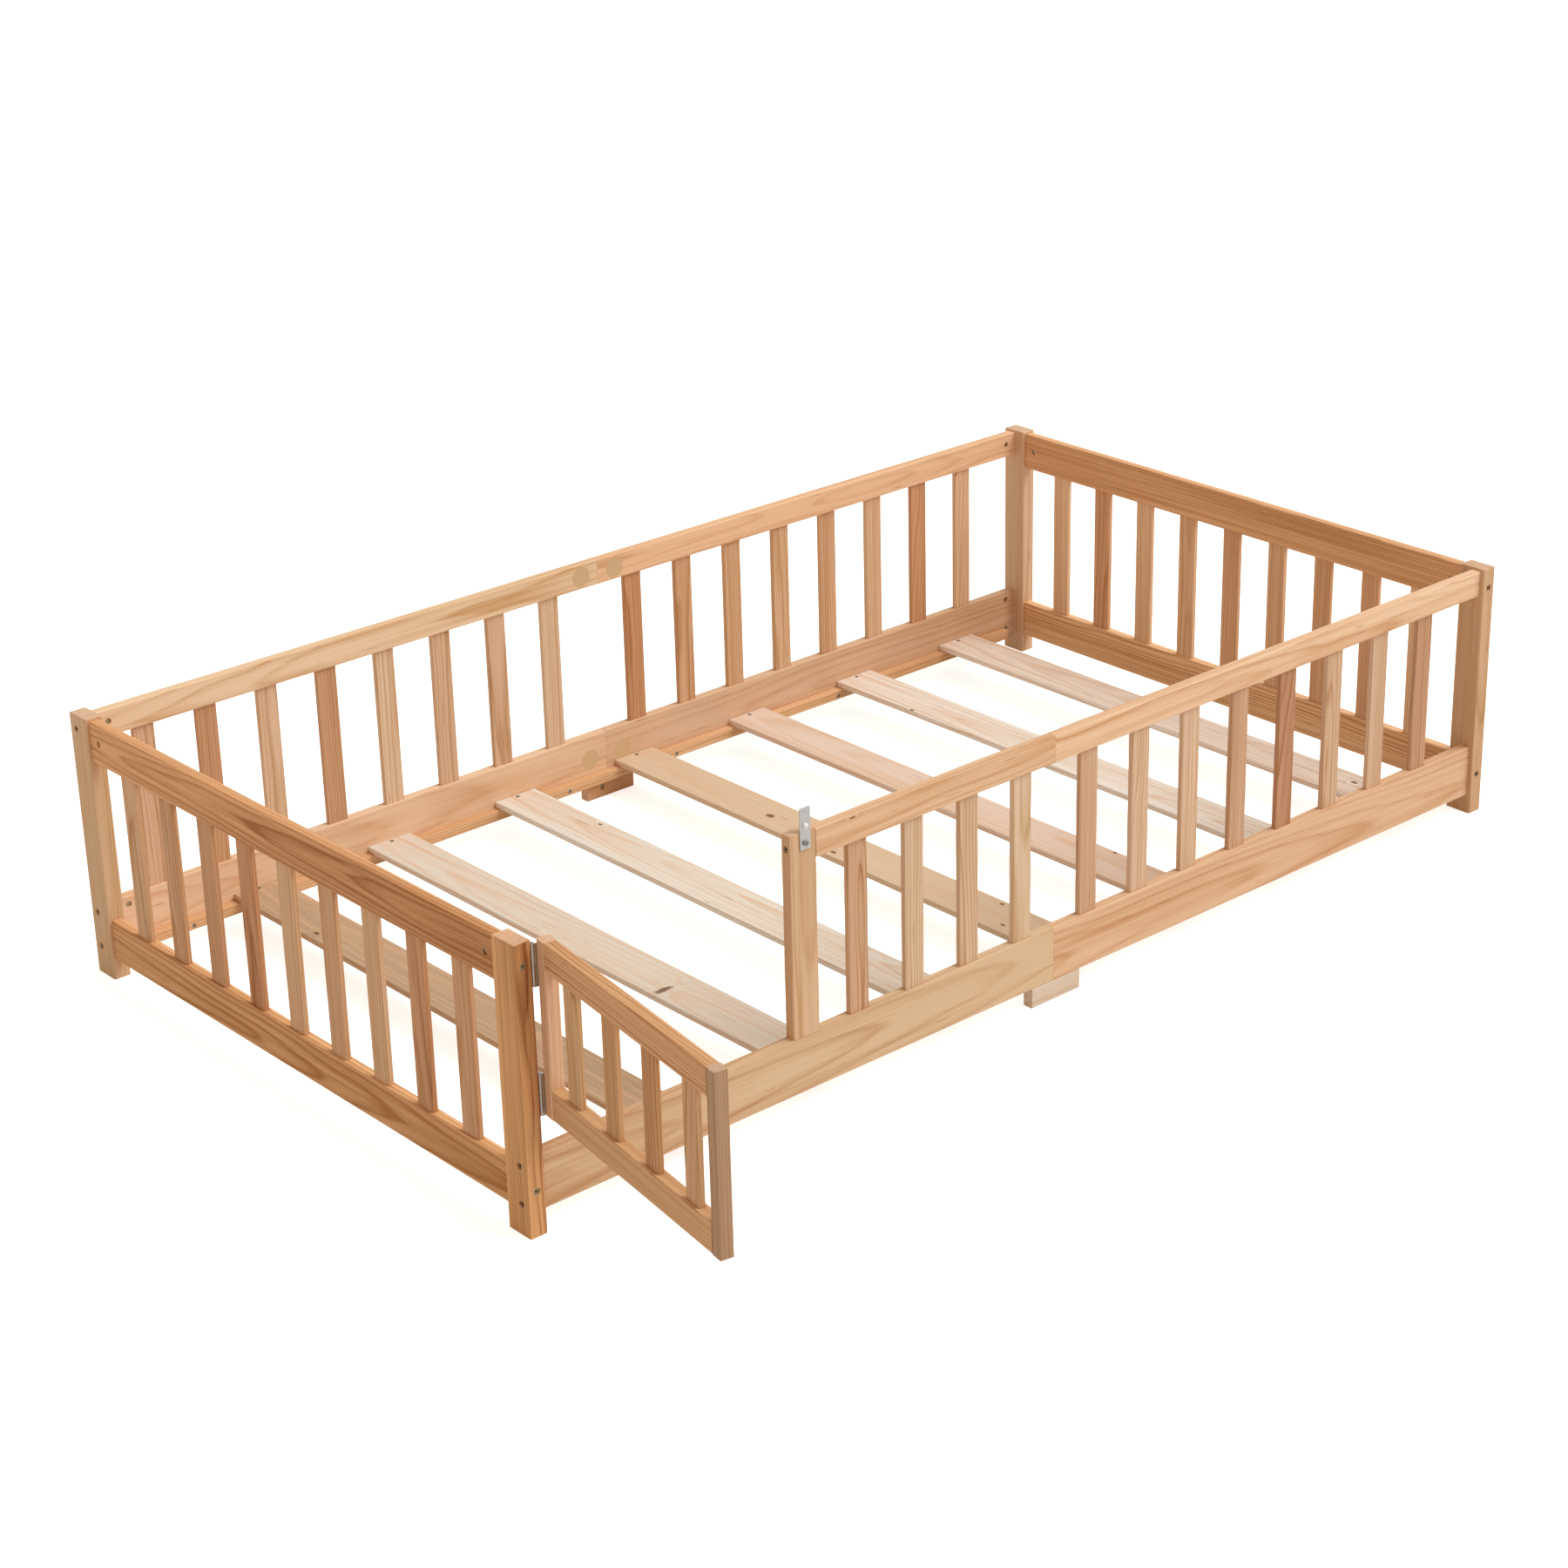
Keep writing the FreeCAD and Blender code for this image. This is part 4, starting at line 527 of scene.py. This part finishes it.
FLOOR_HALF = 12.0
FLOOR_WHITE, ROOM_WHITE = "#F2F2F2", "#FFF0DE"
FLOOR_LIFT = 0.68
ROOM_LEVEL = 0.58
SUN_PLACE, SUN_WAY = (2, -3, 4), (-0.46, 0.43, -0.78)
SUN_POWER, SUN_COLOUR = 1.9, (0.96, 1.0, 1.03)
SUN_SPREAD = math.radians(35)
CAMERA_PLACE = (-3.192140, -3.424898, 2.293741)
YAW, DOWN, ROLL = (math.radians(angle) for angle in (-40.7919, 23.5206, -1.4603))
LENS, SENSOR, FARTHEST = 76.3615, 36.0, 60.0

bpy.ops.object.select_all(action="DESELECT")
bpy.ops.mesh.primitive_plane_add(size=2 * FLOOR_HALF, location=(0, 0, 0))
floor = bpy.context.object
floor.name = "studio_floor"
paper = bpy.data.materials.new("white_paper")
paper.use_nodes = True
tree = paper.node_tree
tree.nodes.clear()
sheet = add(tree, "ShaderNodeBsdfDiffuse", {"Color": linear(FLOOR_WHITE)})
path = add(tree, "ShaderNodeLightPath")
lift = add(tree, "ShaderNodeMath", {0: (path, "Is Camera Ray"), 1: FLOOR_LIFT}, operation="MULTIPLY")
glow = add(tree, "ShaderNodeEmission", {"Color": (1, 1, 1, 1), "Strength": lift})
both = add(tree, "ShaderNodeAddShader", {0: sheet, 1: glow})
add(tree, "ShaderNodeOutputMaterial", {"Surface": both})
floor.data.materials.append(paper)

world = bpy.data.worlds.new("white_room")
bpy.context.scene.world = world
world.use_nodes = True
tree = world.node_tree
tree.nodes.clear()
path = add(tree, "ShaderNodeLightPath")
seen = add(tree, "ShaderNodeMath", {0: (path, "Is Camera Ray"), 1: (path, "Is Glossy Ray")},
           operation="MAXIMUM")
seen = add(tree, "ShaderNodeMath", {0: seen, 1: (path, "Is Transmission Ray")}, operation="MAXIMUM")
level = add(tree, "ShaderNodeMapRange", {0: seen, 3: ROOM_LEVEL, 4: 1.0})
tint = add(tree, "ShaderNodeMix", {0: seen, 6: linear(ROOM_WHITE), 7: (1, 1, 1, 1)},
           data_type="RGBA")
back = add(tree, "ShaderNodeBackground", {"Color": (tint, 2), "Strength": level})
add(tree, "ShaderNodeOutputWorld", {"Surface": back})

bpy.ops.object.light_add(type="SUN", location=SUN_PLACE)
sun = bpy.context.object
sun.data.energy = SUN_POWER
sun.data.color = SUN_COLOUR
sun.data.angle = SUN_SPREAD
sun.rotation_euler = Vector(SUN_WAY).to_track_quat("-Z", "Y").to_euler()

# The camera stands beyond the foot end's front corner and looks down over the bed.
bpy.ops.object.camera_add(location=CAMERA_PLACE)
camera = bpy.context.object
sight = Vector((-math.sin(YAW) * math.cos(DOWN), math.cos(YAW) * math.cos(DOWN), -math.sin(DOWN)))
camera.rotation_mode = "QUATERNION"
camera.rotation_quaternion = sight.to_track_quat("-Z", "Y") @ Quaternion((0, 0, 1), ROLL)
camera.data.sensor_width = SENSOR
camera.data.lens = LENS
camera.data.clip_end = FARTHEST
bpy.context.scene.camera = camera
bpy.context.scene.view_settings.view_transform = "Standard"
